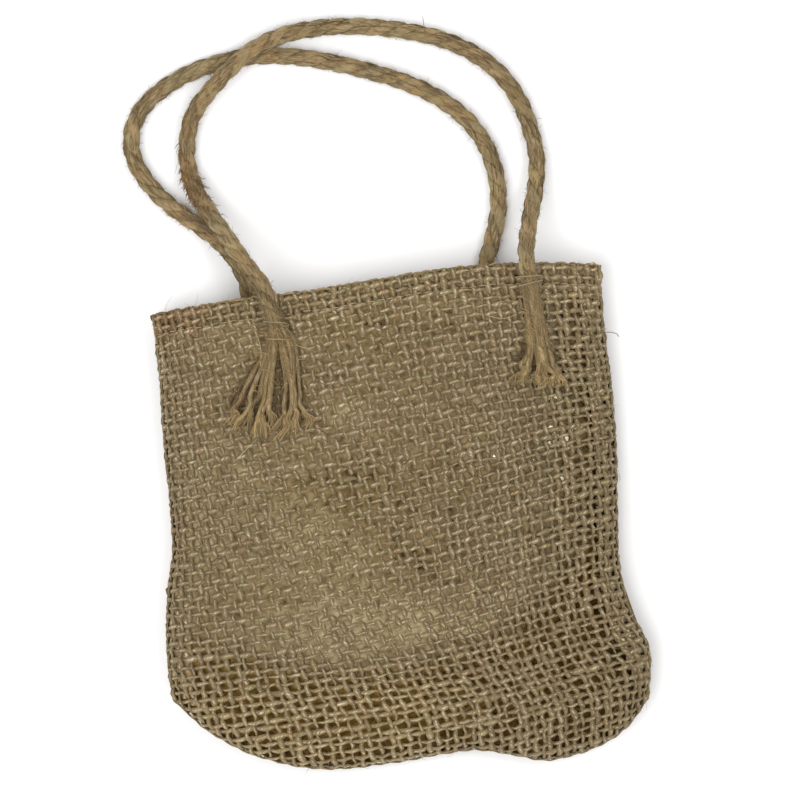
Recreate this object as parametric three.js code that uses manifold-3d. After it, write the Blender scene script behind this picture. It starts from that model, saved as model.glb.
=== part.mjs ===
// A small jute tote bag lying on its back, with two rope handles sewn to its hem.
// Millimetres, +Z up. X runs across the bag, Y from base to mouth, and it rests on z = 0.

import * as THREE from "three";
import ManifoldModule from "manifold-3d";

// Cloth, hem and lining
const CLOTH = 1.4; // one layer of woven jute
const HEM = 2.6; // two layers pressed together at the mouth
const HEM_DEPTH = 7.0; // how far the hem reaches down from the mouth
const SEAM_WIDTH = 2.8; // cloth turned in along the sides and the base
const BAG_LENGTH = 160.0; // mouth to base along the middle
const FILM = 1.0; // lining film, drawn thicker than it is
const FILM_GAP = 0.7; // space between the film and the cloth
const FILM_TOP = 10.0; // the film starts this far below the mouth
const FILM_SIDE = { left: 7.0, right: 10.0 }; // the film bag is narrower than the cloth
const FILM_REACH = { side: 0.57, middle: 0.78 }; // how far down it reaches, as a share

// Finishes
const CLOTH_FINISH = { color: "#7d6d4d", roughness: 0.9, metalness: 0 };
const FILM_FINISH = { color: "#d1d1c7", roughness: 0.2, metalness: 0, transparent: true, opacity: 0.35 };
const ROPE_FINISH = { color: "#8d7752", roughness: 0.9, metalness: 0 };

// How the front panel is rounded
const SIDE_ROUND = 2.3; // higher is flatter across the middle
const BASE_ROUND = 0.8; // the panel turns down to the base from this share on
const COLUMN_DRIFT = 8.0; // warp threads drift to the right towards the base
const ROW_CLIMB = 5.0; // weft threads climb towards the right seam

// How the back panel lies: raised on the rope ends at the mouth, flat on the ground below
const MOUTH_LIFT = 6.3;
const LIFT_END = 0.38;
const CURL_SIDE = 0.76; // the back panel curls up to the side seams from here on
const CURL_BASE = 0.86; // and up to the base edge from here on

// Cross sections from the mouth (down = 0) to the base (down = 1)
const SECTIONS = [
  { down: 0.0, left: -75.5, right: 74.8, crown: 20.0, seam: 10.8 },
  { down: 0.15, left: -74.7, right: 74.4, crown: 22.0, seam: 9.8 },
  { down: 0.3, left: -75.2, right: 75.2, crown: 25.0, seam: 8.2 },
  { down: 0.45, left: -75.1, right: 75.1, crown: 28.0, seam: 7.4 },
  { down: 0.6, left: -75.4, right: 73.6, crown: 31.0, seam: 7.8 },
  { down: 0.7, left: -77.9, right: 72.7, crown: 32.0, seam: 8.5 },
  { down: 0.8, left: -79.6, right: 74.5, crown: 31.0, seam: 9.5 },
  { down: 0.9, left: -80.3, right: 80.2, crown: 28.0, seam: 10.0 },
  { down: 1.0, left: -79.4, right: 78.3, crown: 26.0, seam: 10.0 },
];

// The mouth and the base edge, from the left seam (across = 0) to the right seam (across = 1)
const MOUTH_LINE = [
  { across: 0.0, y: 75.9 },
  { across: 0.1, y: 77.3 },
  { across: 0.22, y: 78.5 },
  { across: 0.35, y: 79.2 },
  { across: 0.5, y: 80.9 },
  { across: 0.63, y: 82.3 },
  { across: 0.75, y: 82.7 },
  { across: 0.87, y: 81.6 },
  { across: 1.0, y: 79.7 },
];
const BASE_LINE = [
  { across: 0.0, y: -52.5 },
  { across: 0.055, y: -63.0 },
  { across: 0.14, y: -72.9 },
  { across: 0.26, y: -79.1 },
  { across: 0.4, y: -79.2 },
  { across: 0.57, y: -77.2 },
  { across: 0.66, y: -80.0 },
  { across: 0.745, y: -82.95 },
  { across: 0.88, y: -79.1 },
  { across: 0.95, y: -73.2 },
  { across: 1.0, y: -65.6 },
];

// Main folds of the front panel: a ridge where rise is above zero, a trough where it is below
const FOLDS = [
  { name: "base crease", x: -6, y: -47, turn: 2, reach: 62, width: 5, rise: 1.4 },
  { name: "under the crease", x: -30, y: -56, turn: 3, reach: 34, width: 5, rise: -2.2 },
  { name: "right pinch", x: 58, y: -26, turn: 32, reach: 22, width: 8, rise: -3.2 },
  { name: "left pinch", x: -60, y: -9, turn: -24, reach: 20, width: 7, rise: -2.0 },
  { name: "middle hollow", x: 2, y: 18, turn: -10, reach: 38, width: 13, rise: -1.6 },
];

// Rope handles
const ROPE_RADIUS = 2.9;
const ROPE_GROOVE = 0.78; // radius in the grooves between strands, as a share
const ROPE_STRANDS = 3;
const ROPE_LAY = -19.0; // length of one turn of a strand, below zero for a left-hand lay
const ROPE_STEP = 2.5;
const ROPE_SIDES = 9;
const JOINT_GAP = 0.3; // between a rope's cut end and its tassel

// Front handle: from the left stitches over the hem, down to the ground, over the back handle
// in a long low hump, and back up to the right stitches
const FRONT_ROUTE = [
  { x: -34.4, y: 69.9, z: 23.4 },
  { x: -35.2, y: 75.0, z: 23.2 },
  { x: -36.3, y: 79.8, z: 22.9 },
  { x: -39.0, y: 85.1, z: 21.3 },
  { x: -42.7, y: 90.5, z: 18.9 },
  { x: -48.8, y: 101.1, z: 13.2 },
  { x: -54.8, y: 111.7, z: 7.6 },
  { x: -58.7, y: 121.9, z: 3.7 },
  { x: -59.3, y: 130.0, z: 3.1 },
  { x: -56.2, y: 141.6, z: 4.4 },
  { x: -48.1, y: 150.9, z: 7.6 },
  { x: -40.3, y: 157.6, z: 9.2 },
  { x: -33.0, y: 162.2, z: 8.9 },
  { x: -24.0, y: 165.7, z: 6.4 },
  { x: -11.3, y: 167.2, z: 3.7 },
  { x: 2.2, y: 166.6, z: 3.0 },
  { x: 17.0, y: 163.8, z: 3.0 },
  { x: 29.7, y: 159.6, z: 3.0 },
  { x: 40.1, y: 153.6, z: 3.0 },
  { x: 47.8, y: 146.1, z: 3.0 },
  { x: 52.9, y: 137.3, z: 3.0 },
  { x: 55.9, y: 127.0, z: 3.2 },
  { x: 57.0, y: 116.8, z: 4.2 },
  { x: 55.4, y: 107.0, z: 7.2 },
  { x: 52.7, y: 97.2, z: 12.8 },
  { x: 50.7, y: 88.5, z: 18.6 },
  { x: 50.3, y: 82.3, z: 21.5 },
  { x: 50.6, y: 75.2, z: 22.0 },
];

// Back handle: from stitches under the back hem along the ground and back under the hem
const BACK_ROUTE = [
  { x: -42.6, y: 71.0, z: 3.0 },
  { x: -42.7, y: 78.5, z: 3.0 },
  { x: -43.4, y: 85.5, z: 3.0 },
  { x: -46.6, y: 93.0, z: 3.0 },
  { x: -51.5, y: 99.5, z: 3.0 },
  { x: -58.2, y: 105.5, z: 3.0 },
  { x: -65.2, y: 111.4, z: 3.0 },
  { x: -72.4, y: 119.6, z: 3.0 },
  { x: -77.1, y: 129.2, z: 3.0 },
  { x: -76.9, y: 138.5, z: 3.0 },
  { x: -71.5, y: 147.0, z: 3.0 },
  { x: -61.8, y: 153.5, z: 3.0 },
  { x: -49.8, y: 157.9, z: 3.0 },
  { x: -37.0, y: 159.7, z: 3.0 },
  { x: -23.0, y: 158.8, z: 3.0 },
  { x: -8.8, y: 155.6, z: 3.0 },
  { x: 5.1, y: 150.9, z: 3.0 },
  { x: 17.7, y: 145.6, z: 3.0 },
  { x: 28.2, y: 138.9, z: 3.0 },
  { x: 36.1, y: 130.9, z: 3.0 },
  { x: 40.9, y: 122.1, z: 3.0 },
  { x: 43.1, y: 111.5, z: 3.0 },
  { x: 42.7, y: 101.4, z: 3.0 },
  { x: 40.1, y: 92.4, z: 3.0 },
  { x: 37.0, y: 83.5, z: 3.0 },
  { x: 35.4, y: 75.0, z: 3.0 },
];

// Frayed rope ends: the yarns lie in a fan, their tips where the table says
const HEAD_SIDES = 10;
const HEAD_NECK = 0.9; // the head starts a little slimmer than the rope
const HEAD_HEIGHT = { middle: 2.3, end: 1.7 }; // half heights as it flattens out
const HEAD_GAP = 0.1; // added to the yarns' gap
const ROOT_DEPTH = 2.2; // yarns start this far inside the head
const ROOT_MARGIN = 1.6; // and this far inside its sides
const ROOT_LIFT = 0.5; // and this much higher than their tips
const YARN_BEND = 0.4; // share of a yarn's drop where it turns outwards
const YARN_RADIUS = 0.85;
const YARN_SIDES = 4;
const YARN_STEPS = 5;
const YARN_GAP = 0.5; // clear of the cloth
const GROUND_GAP = 0.2;
const FRONT_LEFT_TIPS = [
  { x: -53.0, y: 38.6, lift: 0.2 },
  { x: -49.5, y: 35.6, lift: 0.9 },
  { x: -46.2, y: 33.9, lift: 0.1 },
  { x: -42.6, y: 31.8, lift: 0.7 },
  { x: -39.2, y: 33.4, lift: 0.1 },
  { x: -36.2, y: 32.2, lift: 1.0 },
  { x: -32.8, y: 34.6, lift: 0.2 },
  { x: -29.8, y: 33.4, lift: 0.8 },
  { x: -26.8, y: 36.0, lift: 0.1 },
  { x: -23.9, y: 35.0, lift: 0.6 },
];
const FRONT_RIGHT_TIPS = [
  { x: 41.0, y: 43.4, lift: 0.1 },
  { x: 43.6, y: 41.6, lift: 0.8 },
  { x: 46.0, y: 42.4, lift: 0.2 },
  { x: 48.6, y: 40.8, lift: 1.1 },
  { x: 51.2, y: 41.8, lift: 0.1 },
  { x: 53.8, y: 40.8, lift: 0.9 },
  { x: 56.6, y: 42.0, lift: 0.2 },
  { x: 60.2, y: 41.4, lift: 0.6 },
];
const BACK_LEFT_TIPS = [
  { x: -52.0, y: 51.5, lift: 0.0 },
  { x: -48.6, y: 49.0, lift: 0.0 },
  { x: -45.4, y: 50.2, lift: 0.0 },
  { x: -42.0, y: 48.4, lift: 0.0 },
  { x: -38.6, y: 49.8, lift: 0.0 },
  { x: -35.4, y: 48.8, lift: 0.0 },
  { x: -32.2, y: 51.0, lift: 0.0 },
];
const BACK_RIGHT_TIPS = [
  { x: 25.6, y: 54.5, lift: 0.0 },
  { x: 29.0, y: 52.5, lift: 0.0 },
  { x: 32.4, y: 53.5, lift: 0.0 },
  { x: 35.8, y: 51.8, lift: 0.0 },
  { x: 39.2, y: 53.2, lift: 0.0 },
  { x: 42.6, y: 52.0, lift: 0.0 },
  { x: 45.8, y: 55.0, lift: 0.0 },
];

const manifold = await ManifoldModule();
manifold.setup();

// Smooth curve through one column of a table
function curveThrough(table, key, column, at) {
  const last = table.length - 1;
  let row = 0;
  while (row < last - 1 && at > table[row + 1][key]) row += 1;
  const slopeAt = (i) => {
    const before = table[Math.max(i - 1, 0)];
    const after = table[Math.min(i + 1, last)];
    return (after[column] - before[column]) / (after[key] - before[key]);
  };
  const start = table[row];
  const end = table[row + 1];
  const span = end[key] - start[key];
  const t = (at - start[key]) / span;
  const rise = end[column] - start[column];
  const a = slopeAt(row) * span - rise;
  const b = rise - slopeAt(row + 1) * span;
  return start[column] + t * rise + t * (1 - t) * ((1 - t) * a + t * b);
}

// Place in plan of a point on the bag, across from the left seam and down from the mouth
function planPoint(across, down, inLeft, inRight) {
  const left = curveThrough(SECTIONS, "down", "left", down) + inLeft;
  const right = curveThrough(SECTIONS, "down", "right", down) - inRight;
  const mouth = curveThrough(MOUTH_LINE, "across", "y", across);
  const base = curveThrough(BASE_LINE, "across", "y", across);
  const drift = COLUMN_DRIFT * Math.sin(Math.PI * across) * THREE.MathUtils.smoothstep(down, 0.5, 1);
  const climb = ROW_CLIMB * THREE.MathUtils.smoothstep(across, 0.55, 1) * 4 * down * (1 - down);
  return {
    x: left + (right - left) * across + drift,
    y: mouth + (base - mouth) * down + climb,
  };
}

// Height that the folds add to the front panel
function foldRise(x, y) {
  let rise = 0;
  for (const fold of FOLDS) {
    const turn = THREE.MathUtils.degToRad(fold.turn);
    const dx = x - fold.x;
    const dy = y - fold.y;
    const alongFold = (dx * Math.cos(turn) + dy * Math.sin(turn)) / fold.reach;
    const acrossFold = (dy * Math.cos(turn) - dx * Math.sin(turn)) / fold.width;
    rise += fold.rise * Math.exp(-alongFold * alongFold - acrossFold * acrossFold);
  }
  return rise;
}

// The faces of a pillow: its front point and back point at a share across and down its own outline.
// `shave` is how far the faces lie inside the outer cloth, `edge` half the thickness at its rim.
function pillow({ inLeft, inRight, top, reach, shave, edge }) {
  return (across, own) => {
    const down = top + (reach(across) - top) * own;
    const { x, y } = planPoint(across, down, inLeft, inRight);
    const offMiddle = Math.abs(2 * across - 1);
    const side = Math.sqrt(1 - offMiddle ** SIDE_ROUND);
    const turned = Math.max(0, (own - BASE_ROUND) / (1 - BASE_ROUND));
    const dome = side * Math.sqrt(1 - turned * turned);
    const seam = curveThrough(SECTIONS, "down", "seam", down);
    const crown = curveThrough(SECTIONS, "down", "crown", down) - shave(down);
    const lift = MOUTH_LIFT * (1 - THREE.MathUtils.smoothstep(down, 0.03, LIFT_END));
    const floor = lift + shave(down);
    const curlSide = Math.max(0, (offMiddle - CURL_SIDE) / (1 - CURL_SIDE)) ** 2;
    const curlBase = Math.max(0, (own - CURL_BASE) / (1 - CURL_BASE)) ** 2;
    const curl = 1 - (1 - curlSide) * (1 - curlBase);
    return {
      front: [x, y, seam + edge + (crown - seam - edge + foldRise(x, y)) * dome],
      back: [x, y, floor + (seam - edge - floor) * curl],
    };
  };
}

// Shares across, closer together near the seams
function sharesAcross(count) {
  const shares = [];
  for (let i = 0; i <= count; i += 1) {
    const even = i / count;
    const rounded = 0.5 - 0.5 * Math.cos(Math.PI * even);
    shares.push(0.5 * (even + rounded));
  }
  return shares;
}

// Shares down, closer together where the panel turns to the base
function sharesDown(flatStarts, flatCount, roundCount) {
  const shares = [...flatStarts];
  const from = flatStarts[flatStarts.length - 1];
  for (let i = 1; i <= flatCount; i += 1) shares.push(from + ((BASE_ROUND - from) * i) / flatCount);
  for (let i = 1; i <= roundCount; i += 1) {
    shares.push(BASE_ROUND + (1 - BASE_ROUND) * Math.sin((Math.PI / 2) * (i / roundCount)));
  }
  return shares;
}

function meshFrom(points, faces) {
  const geometry = new THREE.BufferGeometry();
  geometry.setAttribute("position", new THREE.Float32BufferAttribute(points.flat(), 3));
  geometry.setIndex(faces.flat());
  return geometry;
}

// A closed shell between an outer and an inner pillow, open at the mouth
function shell(outer, inner, across, down) {
  const points = [];
  const faces = [];
  const ringLength = 2 * across.length;
  const lastRing = down.length - 1;
  const layers = [];
  for (const skin of [outer, inner]) {
    const first = points.length;
    for (const own of down) {
      const made = across.map((share) => skin(share, own));
      points.push(...made.map((p) => p.front));
      points.push(...made.map((p) => p.back).reverse());
    }
    layers.push((ring, k) => first + ring * ringLength + (k % ringLength));
  }
  const addQuad = (a, b, c, d, flipped) => {
    if (flipped) faces.push([a, c, b], [a, d, c]);
    else faces.push([a, b, c], [a, c, d]);
  };
  layers.forEach((at, layer) => {
    const flipped = layer === 1;
    for (let ring = 0; ring < lastRing; ring += 1) {
      for (let k = 0; k < ringLength; k += 1) {
        addQuad(at(ring, k), at(ring + 1, k), at(ring + 1, k + 1), at(ring, k + 1), flipped);
      }
    }
    for (let k = 0; k < across.length - 1; k += 1) {
      const under = ringLength - 1 - k;
      addQuad(at(lastRing, k), at(lastRing, under), at(lastRing, under - 1), at(lastRing, k + 1), flipped);
    }
  });
  const [outside, inside] = layers;
  for (let k = 0; k < ringLength; k += 1) {
    addQuad(outside(0, k), outside(0, k + 1), inside(0, k + 1), inside(0, k), false);
  }
  return meshFrom(points, faces);
}

// A closed tube through rings of points, each ring counter-clockwise seen from the tube's far end
function tube(rings) {
  const sides = rings[0].length;
  const points = rings.flat();
  const faces = [];
  for (let ring = 0; ring < rings.length - 1; ring += 1) {
    for (let k = 0; k < sides; k += 1) {
      const next = (k + 1) % sides;
      const a = ring * sides + k;
      const b = ring * sides + next;
      faces.push([a, b, b + sides], [a, b + sides, a + sides]);
    }
  }
  const lastStart = (rings.length - 1) * sides;
  for (let k = 1; k < sides - 1; k += 1) {
    faces.push([0, k + 1, k], [lastStart, lastStart + k, lastStart + k + 1]);
  }
  return meshFrom(points, faces);
}

// A ring of points about a centre, in the plane of two directions
function ring(centre, right, up, sides, radiusAt) {
  const points = [];
  for (let k = 0; k < sides; k += 1) {
    const angle = (2 * Math.PI * k) / sides;
    const { wide, high } = radiusAt(angle);
    const point = centre
      .clone()
      .addScaledVector(right, wide * Math.cos(angle))
      .addScaledVector(up, high * Math.sin(angle));
    points.push(point.toArray());
  }
  return points;
}

function routeCurve(route) {
  const points = route.map((p) => new THREE.Vector3(p.x, p.y, p.z));
  return new THREE.CatmullRomCurve3(points, false, "centripetal");
}

// A laid rope along a route, its strands raised in the face's points
function laidRope(route) {
  const curve = routeCurve(route);
  const steps = Math.round(curve.getLength() / ROPE_STEP);
  const frames = curve.computeFrenetFrames(steps, false);
  const rings = [];
  for (let i = 0; i <= steps; i += 1) {
    const twist = (2 * Math.PI * i * ROPE_STEP) / ROPE_LAY;
    const middle = (1 + ROPE_GROOVE) / 2;
    const swing = (1 - ROPE_GROOVE) / 2;
    const radiusAt = (angle) => {
      const radius = ROPE_RADIUS * (middle + swing * Math.cos(ROPE_STRANDS * (angle - twist)));
      return { wide: radius, high: radius };
    };
    const centre = curve.getPointAt(i / steps);
    rings.push(ring(centre, frames.normals[i], frames.binormals[i], ROPE_SIDES, radiusAt));
  }
  return tube(rings);
}

// Height of the front panel at a place in plan
const outerCloth = pillow({
  inLeft: 0,
  inRight: 0,
  top: 0,
  reach: () => 1,
  shave: () => 0,
  edge: CLOTH,
});
function panelHeight(x, y) {
  let across = 0.5;
  let down = 0.2;
  for (let i = 0; i < 12; i += 1) {
    const here = planPoint(across, down, 0, 0);
    across = THREE.MathUtils.clamp(across + (x - here.x) / 150, 0.01, 0.99);
    down = THREE.MathUtils.clamp(down - (y - here.y) / BAG_LENGTH, 0, 0.99);
  }
  return outerCloth(across, down).front[2];
}

function solidFrom(geometry) {
  const vertProperties = new Float32Array(geometry.getAttribute("position").array);
  const triVerts = new Uint32Array(geometry.index.array);
  return new manifold.Manifold(new manifold.Mesh({ numProp: 3, vertProperties, triVerts }));
}

function geometryFrom(solid) {
  const mesh = solid.getMesh();
  const geometry = new THREE.BufferGeometry();
  geometry.setAttribute("position", new THREE.Float32BufferAttribute(mesh.vertProperties, mesh.numProp));
  geometry.setIndex(Array.from(mesh.triVerts));
  return geometry;
}

// A frayed rope end: a head that flattens out from the rope, and yarns fused into it
function tassel({ route, fromStart, tips, headLength, headWidth, groundAt }) {
  const curve = routeCurve(route);
  const end = curve.getPointAt(fromStart ? 0 : 1);
  const axis = curve.getTangentAt(fromStart ? 0 : 1).multiplyScalar(fromStart ? -1 : 1);
  const right = new THREE.Vector3(0, 0, 1).cross(axis).normalize();
  const up = axis.clone().cross(right);
  const stations = [
    { along: JOINT_GAP, wide: ROPE_RADIUS * HEAD_NECK, high: ROPE_RADIUS * HEAD_NECK },
    { along: headLength / 2, wide: (ROPE_RADIUS + headWidth / 2) / 2, high: HEAD_HEIGHT.middle },
    { along: headLength, wide: headWidth / 2, high: HEAD_HEIGHT.end },
  ];
  const rings = stations.map(({ along, wide, high }, i) => {
    const centre = end.clone().addScaledVector(axis, along);
    if (i > 0) centre.z = groundAt(centre.x, centre.y) + high + HEAD_GAP;
    return ring(centre, right, up, HEAD_SIDES, () => ({ wide, high }));
  });
  const solids = [solidFrom(tube(rings))];
  const sideways = tips.map((tip) => (tip.x - end.x) * right.x + (tip.y - end.y) * right.y);
  const most = Math.max(...sideways.map(Math.abs));
  tips.forEach((tip, i) => {
    const spread = (sideways[i] / most) * (headWidth / 2 - ROOT_MARGIN);
    const root = end.clone().addScaledVector(axis, headLength - ROOT_DEPTH).addScaledVector(right, spread);
    const bend = root.clone().addScaledVector(axis, YARN_BEND * Math.abs(root.y - tip.y));
    const yarnRings = [];
    for (let step = 0; step <= YARN_STEPS; step += 1) {
      const t = step / YARN_STEPS;
      const x = (1 - t) ** 2 * root.x + 2 * t * (1 - t) * bend.x + t * t * tip.x;
      const y = (1 - t) ** 2 * root.y + 2 * t * (1 - t) * bend.y + t * t * tip.y;
      const z = groundAt(x, y) + YARN_RADIUS + tip.lift + ROOT_LIFT * (1 - t);
      const radiusAt = () => ({ wide: YARN_RADIUS, high: YARN_RADIUS });
      const centre = new THREE.Vector3(x, y, z);
      const along = new THREE.Vector3(tip.x - root.x, tip.y - root.y, 0).normalize();
      const across = new THREE.Vector3(0, 0, 1).cross(along);
      yarnRings.push(ring(centre, across, new THREE.Vector3(0, 0, 1), YARN_SIDES, radiusAt));
    }
    solids.push(solidFrom(tube(yarnRings)));
  });
  return geometryFrom(manifold.Manifold.union(solids));
}

const group = new THREE.Group();
function addPart(name, geometry, finish) {
  geometry.computeVertexNormals();
  const mesh = new THREE.Mesh(geometry, new THREE.MeshStandardMaterial(finish));
  mesh.name = name;
  group.add(mesh);
}

// Bag cloth with its hem turned in at the mouth
const hemShare = HEM_DEPTH / BAG_LENGTH;
const innerCloth = pillow({
  inLeft: SEAM_WIDTH,
  inRight: SEAM_WIDTH,
  top: 0,
  reach: () => 1 - SEAM_WIDTH / BAG_LENGTH,
  shave: (down) => (down < hemShare ? HEM : CLOTH),
  edge: 0.3,
});
const clothDown = sharesDown([0, hemShare - 0.004, hemShare + 0.004], 14, 6);
addPart("bag_cloth", shell(outerCloth, innerCloth, sharesAcross(22), clothDown), CLOTH_FINISH);

// Lining: a loose film bag with a rounded bottom, nearest the cloth in the middle of the panels
const filmReach = (across) => {
  const offMiddle = 2 * across - 1;
  return FILM_REACH.side + (FILM_REACH.middle - FILM_REACH.side) * (1 - offMiddle * offMiddle);
};
const outerFilm = pillow({
  inLeft: FILM_SIDE.left,
  inRight: FILM_SIDE.right,
  top: FILM_TOP / BAG_LENGTH,
  reach: filmReach,
  shave: () => CLOTH + FILM_GAP,
  edge: FILM,
});
const innerFilm = pillow({
  inLeft: FILM_SIDE.left + 2 * FILM,
  inRight: FILM_SIDE.right + 2 * FILM,
  top: FILM_TOP / BAG_LENGTH,
  reach: (across) => filmReach(across) - (2 * FILM) / BAG_LENGTH,
  shave: () => CLOTH + FILM_GAP + FILM,
  edge: 0.25,
});
const filmDown = sharesDown([0], 9, 5);
addPart("lining_film", shell(outerFilm, innerFilm, sharesAcross(14), filmDown), FILM_FINISH);

// Rope handles
addPart("handle_rope_front", laidRope(FRONT_ROUTE), ROPE_FINISH);
addPart("handle_rope_back", laidRope(BACK_ROUTE), ROPE_FINISH);

// Frayed ends on the front panel and under the back panel
const onPanel = (x, y) => panelHeight(x, y) + YARN_GAP;
const onGround = () => GROUND_GAP;
const frontLeft = { route: FRONT_ROUTE, fromStart: true, tips: FRONT_LEFT_TIPS, groundAt: onPanel };
const frontRight = { route: FRONT_ROUTE, fromStart: false, tips: FRONT_RIGHT_TIPS, groundAt: onPanel };
const backLeft = { route: BACK_ROUTE, fromStart: true, tips: BACK_LEFT_TIPS, groundAt: onGround };
const backRight = { route: BACK_ROUTE, fromStart: false, tips: BACK_RIGHT_TIPS, groundAt: onGround };
const ENDS = [
  { name: "tassel_front_left", headLength: 7.0, headWidth: 10.8, ...frontLeft },
  { name: "tassel_front_right", headLength: 13.0, headWidth: 8.0, ...frontRight },
  { name: "tassel_back_left", headLength: 7.0, headWidth: 10.0, ...backLeft },
  { name: "tassel_back_right", headLength: 7.0, headWidth: 10.0, ...backRight },
];
for (const end of ENDS) addPart(end.name, tassel(end), ROPE_FINISH);

export default group;
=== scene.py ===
import math
import bpy
import numpy as np
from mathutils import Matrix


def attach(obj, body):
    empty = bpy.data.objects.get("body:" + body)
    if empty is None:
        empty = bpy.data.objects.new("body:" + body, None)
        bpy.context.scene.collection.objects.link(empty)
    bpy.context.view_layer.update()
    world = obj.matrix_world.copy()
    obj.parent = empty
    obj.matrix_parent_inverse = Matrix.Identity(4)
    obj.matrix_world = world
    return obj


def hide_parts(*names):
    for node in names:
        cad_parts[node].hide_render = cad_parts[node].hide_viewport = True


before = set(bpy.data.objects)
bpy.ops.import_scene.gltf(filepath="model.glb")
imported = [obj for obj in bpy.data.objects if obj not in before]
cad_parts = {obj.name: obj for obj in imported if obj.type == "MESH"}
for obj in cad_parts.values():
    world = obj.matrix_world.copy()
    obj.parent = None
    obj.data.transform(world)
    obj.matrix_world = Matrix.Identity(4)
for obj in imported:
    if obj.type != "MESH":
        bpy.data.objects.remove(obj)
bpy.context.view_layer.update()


# Camera
# The bag lies on its back and is seen from straight above, turned five degrees to the left.
# The lens is long, so that rope on the ground and cloth above it keep the same scale.
MM = 0.001
frame_width = 266.7 * MM
camera_height = 2000.0 * MM
camera_plane = 8.0 * MM
camera_place = (4.5 * MM, 41.1 * MM, camera_height)
camera_turn = math.radians(-5.0)
sensor_width = 36.0
camera_data = bpy.data.cameras.new("camera")
camera_data.sensor_width = sensor_width
camera_data.lens = sensor_width * (camera_height - camera_plane) / frame_width
camera_data.clip_start = 0.01
camera_data.clip_end = 20.0
camera = bpy.data.objects.new("camera", camera_data)
camera.location = camera_place
camera.rotation_euler = (0.0, 0.0, camera_turn)
bpy.context.scene.collection.objects.link(camera)
bpy.context.scene.camera = camera
bpy.context.scene.view_settings.view_transform = "Standard"


# Bag cloth
# One length of open plain-woven jute, folded at the base, sewn up both sides and hemmed at the mouth.
# Each yarn is a flattened, slubby tube that passes over and under its neighbours on the draped form.

# The form, in millimetres: the sides, crown and seam at shares down from the mouth,
# and the lines of the mouth and base at shares across
cloth_thickness = 1.4
bag_length = 160.0
section_down = [0.0, 0.15, 0.3, 0.45, 0.6, 0.7, 0.8, 0.9, 1.0]
section_left = [-75.5, -74.7, -75.2, -75.1, -75.4, -77.9, -79.6, -80.3, -79.4]
section_right = [74.8, 74.4, 75.2, 75.1, 73.6, 72.7, 74.5, 80.2, 78.3]
section_crown = [20.0, 22.0, 25.0, 28.0, 31.0, 32.0, 31.0, 28.0, 26.0]
section_seam = [10.8, 9.8, 8.2, 7.4, 7.8, 8.5, 9.5, 10.0, 10.0]
mouth_across = [0.0, 0.1, 0.22, 0.35, 0.5, 0.63, 0.75, 0.87, 1.0]
mouth_y = [75.9, 77.3, 78.5, 79.2, 80.9, 82.3, 82.7, 81.6, 79.7]
base_across = [0.0, 0.055, 0.14, 0.26, 0.4, 0.57, 0.66, 0.745, 0.88, 0.95, 1.0]
base_y = [-52.5, -63.0, -72.9, -79.1, -79.2, -77.2, -80.0, -82.95, -79.1, -73.2, -65.6]
side_round = 2.3
base_round = 0.8
column_drift = 8.0
row_climb = 5.0
mouth_lift = 6.3
lift_end = 0.38
curl_side = 0.76
curl_base = 0.86
# Main folds of the front panel: a ridge where the rise is above zero, a trough where it is below
folds = [
    {"x": -6, "y": -47, "turn": 2, "reach": 62, "width": 5, "rise": 1.4},
    {"x": -30, "y": -56, "turn": 3, "reach": 34, "width": 5, "rise": -2.2},
    {"x": 58, "y": -26, "turn": 32, "reach": 22, "width": 8, "rise": -3.2},
    {"x": -60, "y": -9, "turn": -24, "reach": 20, "width": 7, "rise": -2.0},
    {"x": 2, "y": 18, "turn": -10, "reach": 38, "width": 13, "rise": -1.6},
]


def curve_through(keys, values, at):
    keys = np.asarray(keys, float)
    values = np.asarray(values, float)
    rows = np.arange(len(keys))
    before = np.maximum(rows - 1, 0)
    after = np.minimum(rows + 1, len(keys) - 1)
    slopes = (values[after] - values[before]) / (keys[after] - keys[before])
    row = np.clip(np.searchsorted(keys, at, side="left") - 1, 0, len(keys) - 2)
    span = keys[row + 1] - keys[row]
    t = (at - keys[row]) / span
    rise = values[row + 1] - values[row]
    a = slopes[row] * span - rise
    b = rise - slopes[row + 1] * span
    return values[row] + t * rise + t * (1 - t) * ((1 - t) * a + t * b)


def ease(t):
    return t * t * (3 - 2 * t)


def smoothstep(at, low, high):
    return ease(np.clip((at - low) / (high - low), 0.0, 1.0))


def fold_rise(x, y):
    rise = np.zeros_like(x)
    for fold in folds:
        turn = math.radians(fold["turn"])
        dx = x - fold["x"]
        dy = y - fold["y"]
        along = (dx * math.cos(turn) + dy * math.sin(turn)) / fold["reach"]
        across = (dy * math.cos(turn) - dx * math.sin(turn)) / fold["width"]
        rise += fold["rise"] * np.exp(-along * along - across * across)
    return rise


# Place in plan, in millimetres, at a share across from the left seam and down from the mouth
def plan_point(across, down, inset):
    left = curve_through(section_down, section_left, down) + inset[0]
    right = curve_through(section_down, section_right, down) - inset[1]
    mouth = curve_through(mouth_across, mouth_y, across)
    base = curve_through(base_across, base_y, across)
    drift = column_drift * np.sin(math.pi * across) * smoothstep(down, 0.5, 1.0)
    climb = row_climb * smoothstep(across, 0.55, 1.0) * 4 * down * (1 - down)
    return left + (right - left) * across + drift, mouth + (base - mouth) * down + climb


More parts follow.
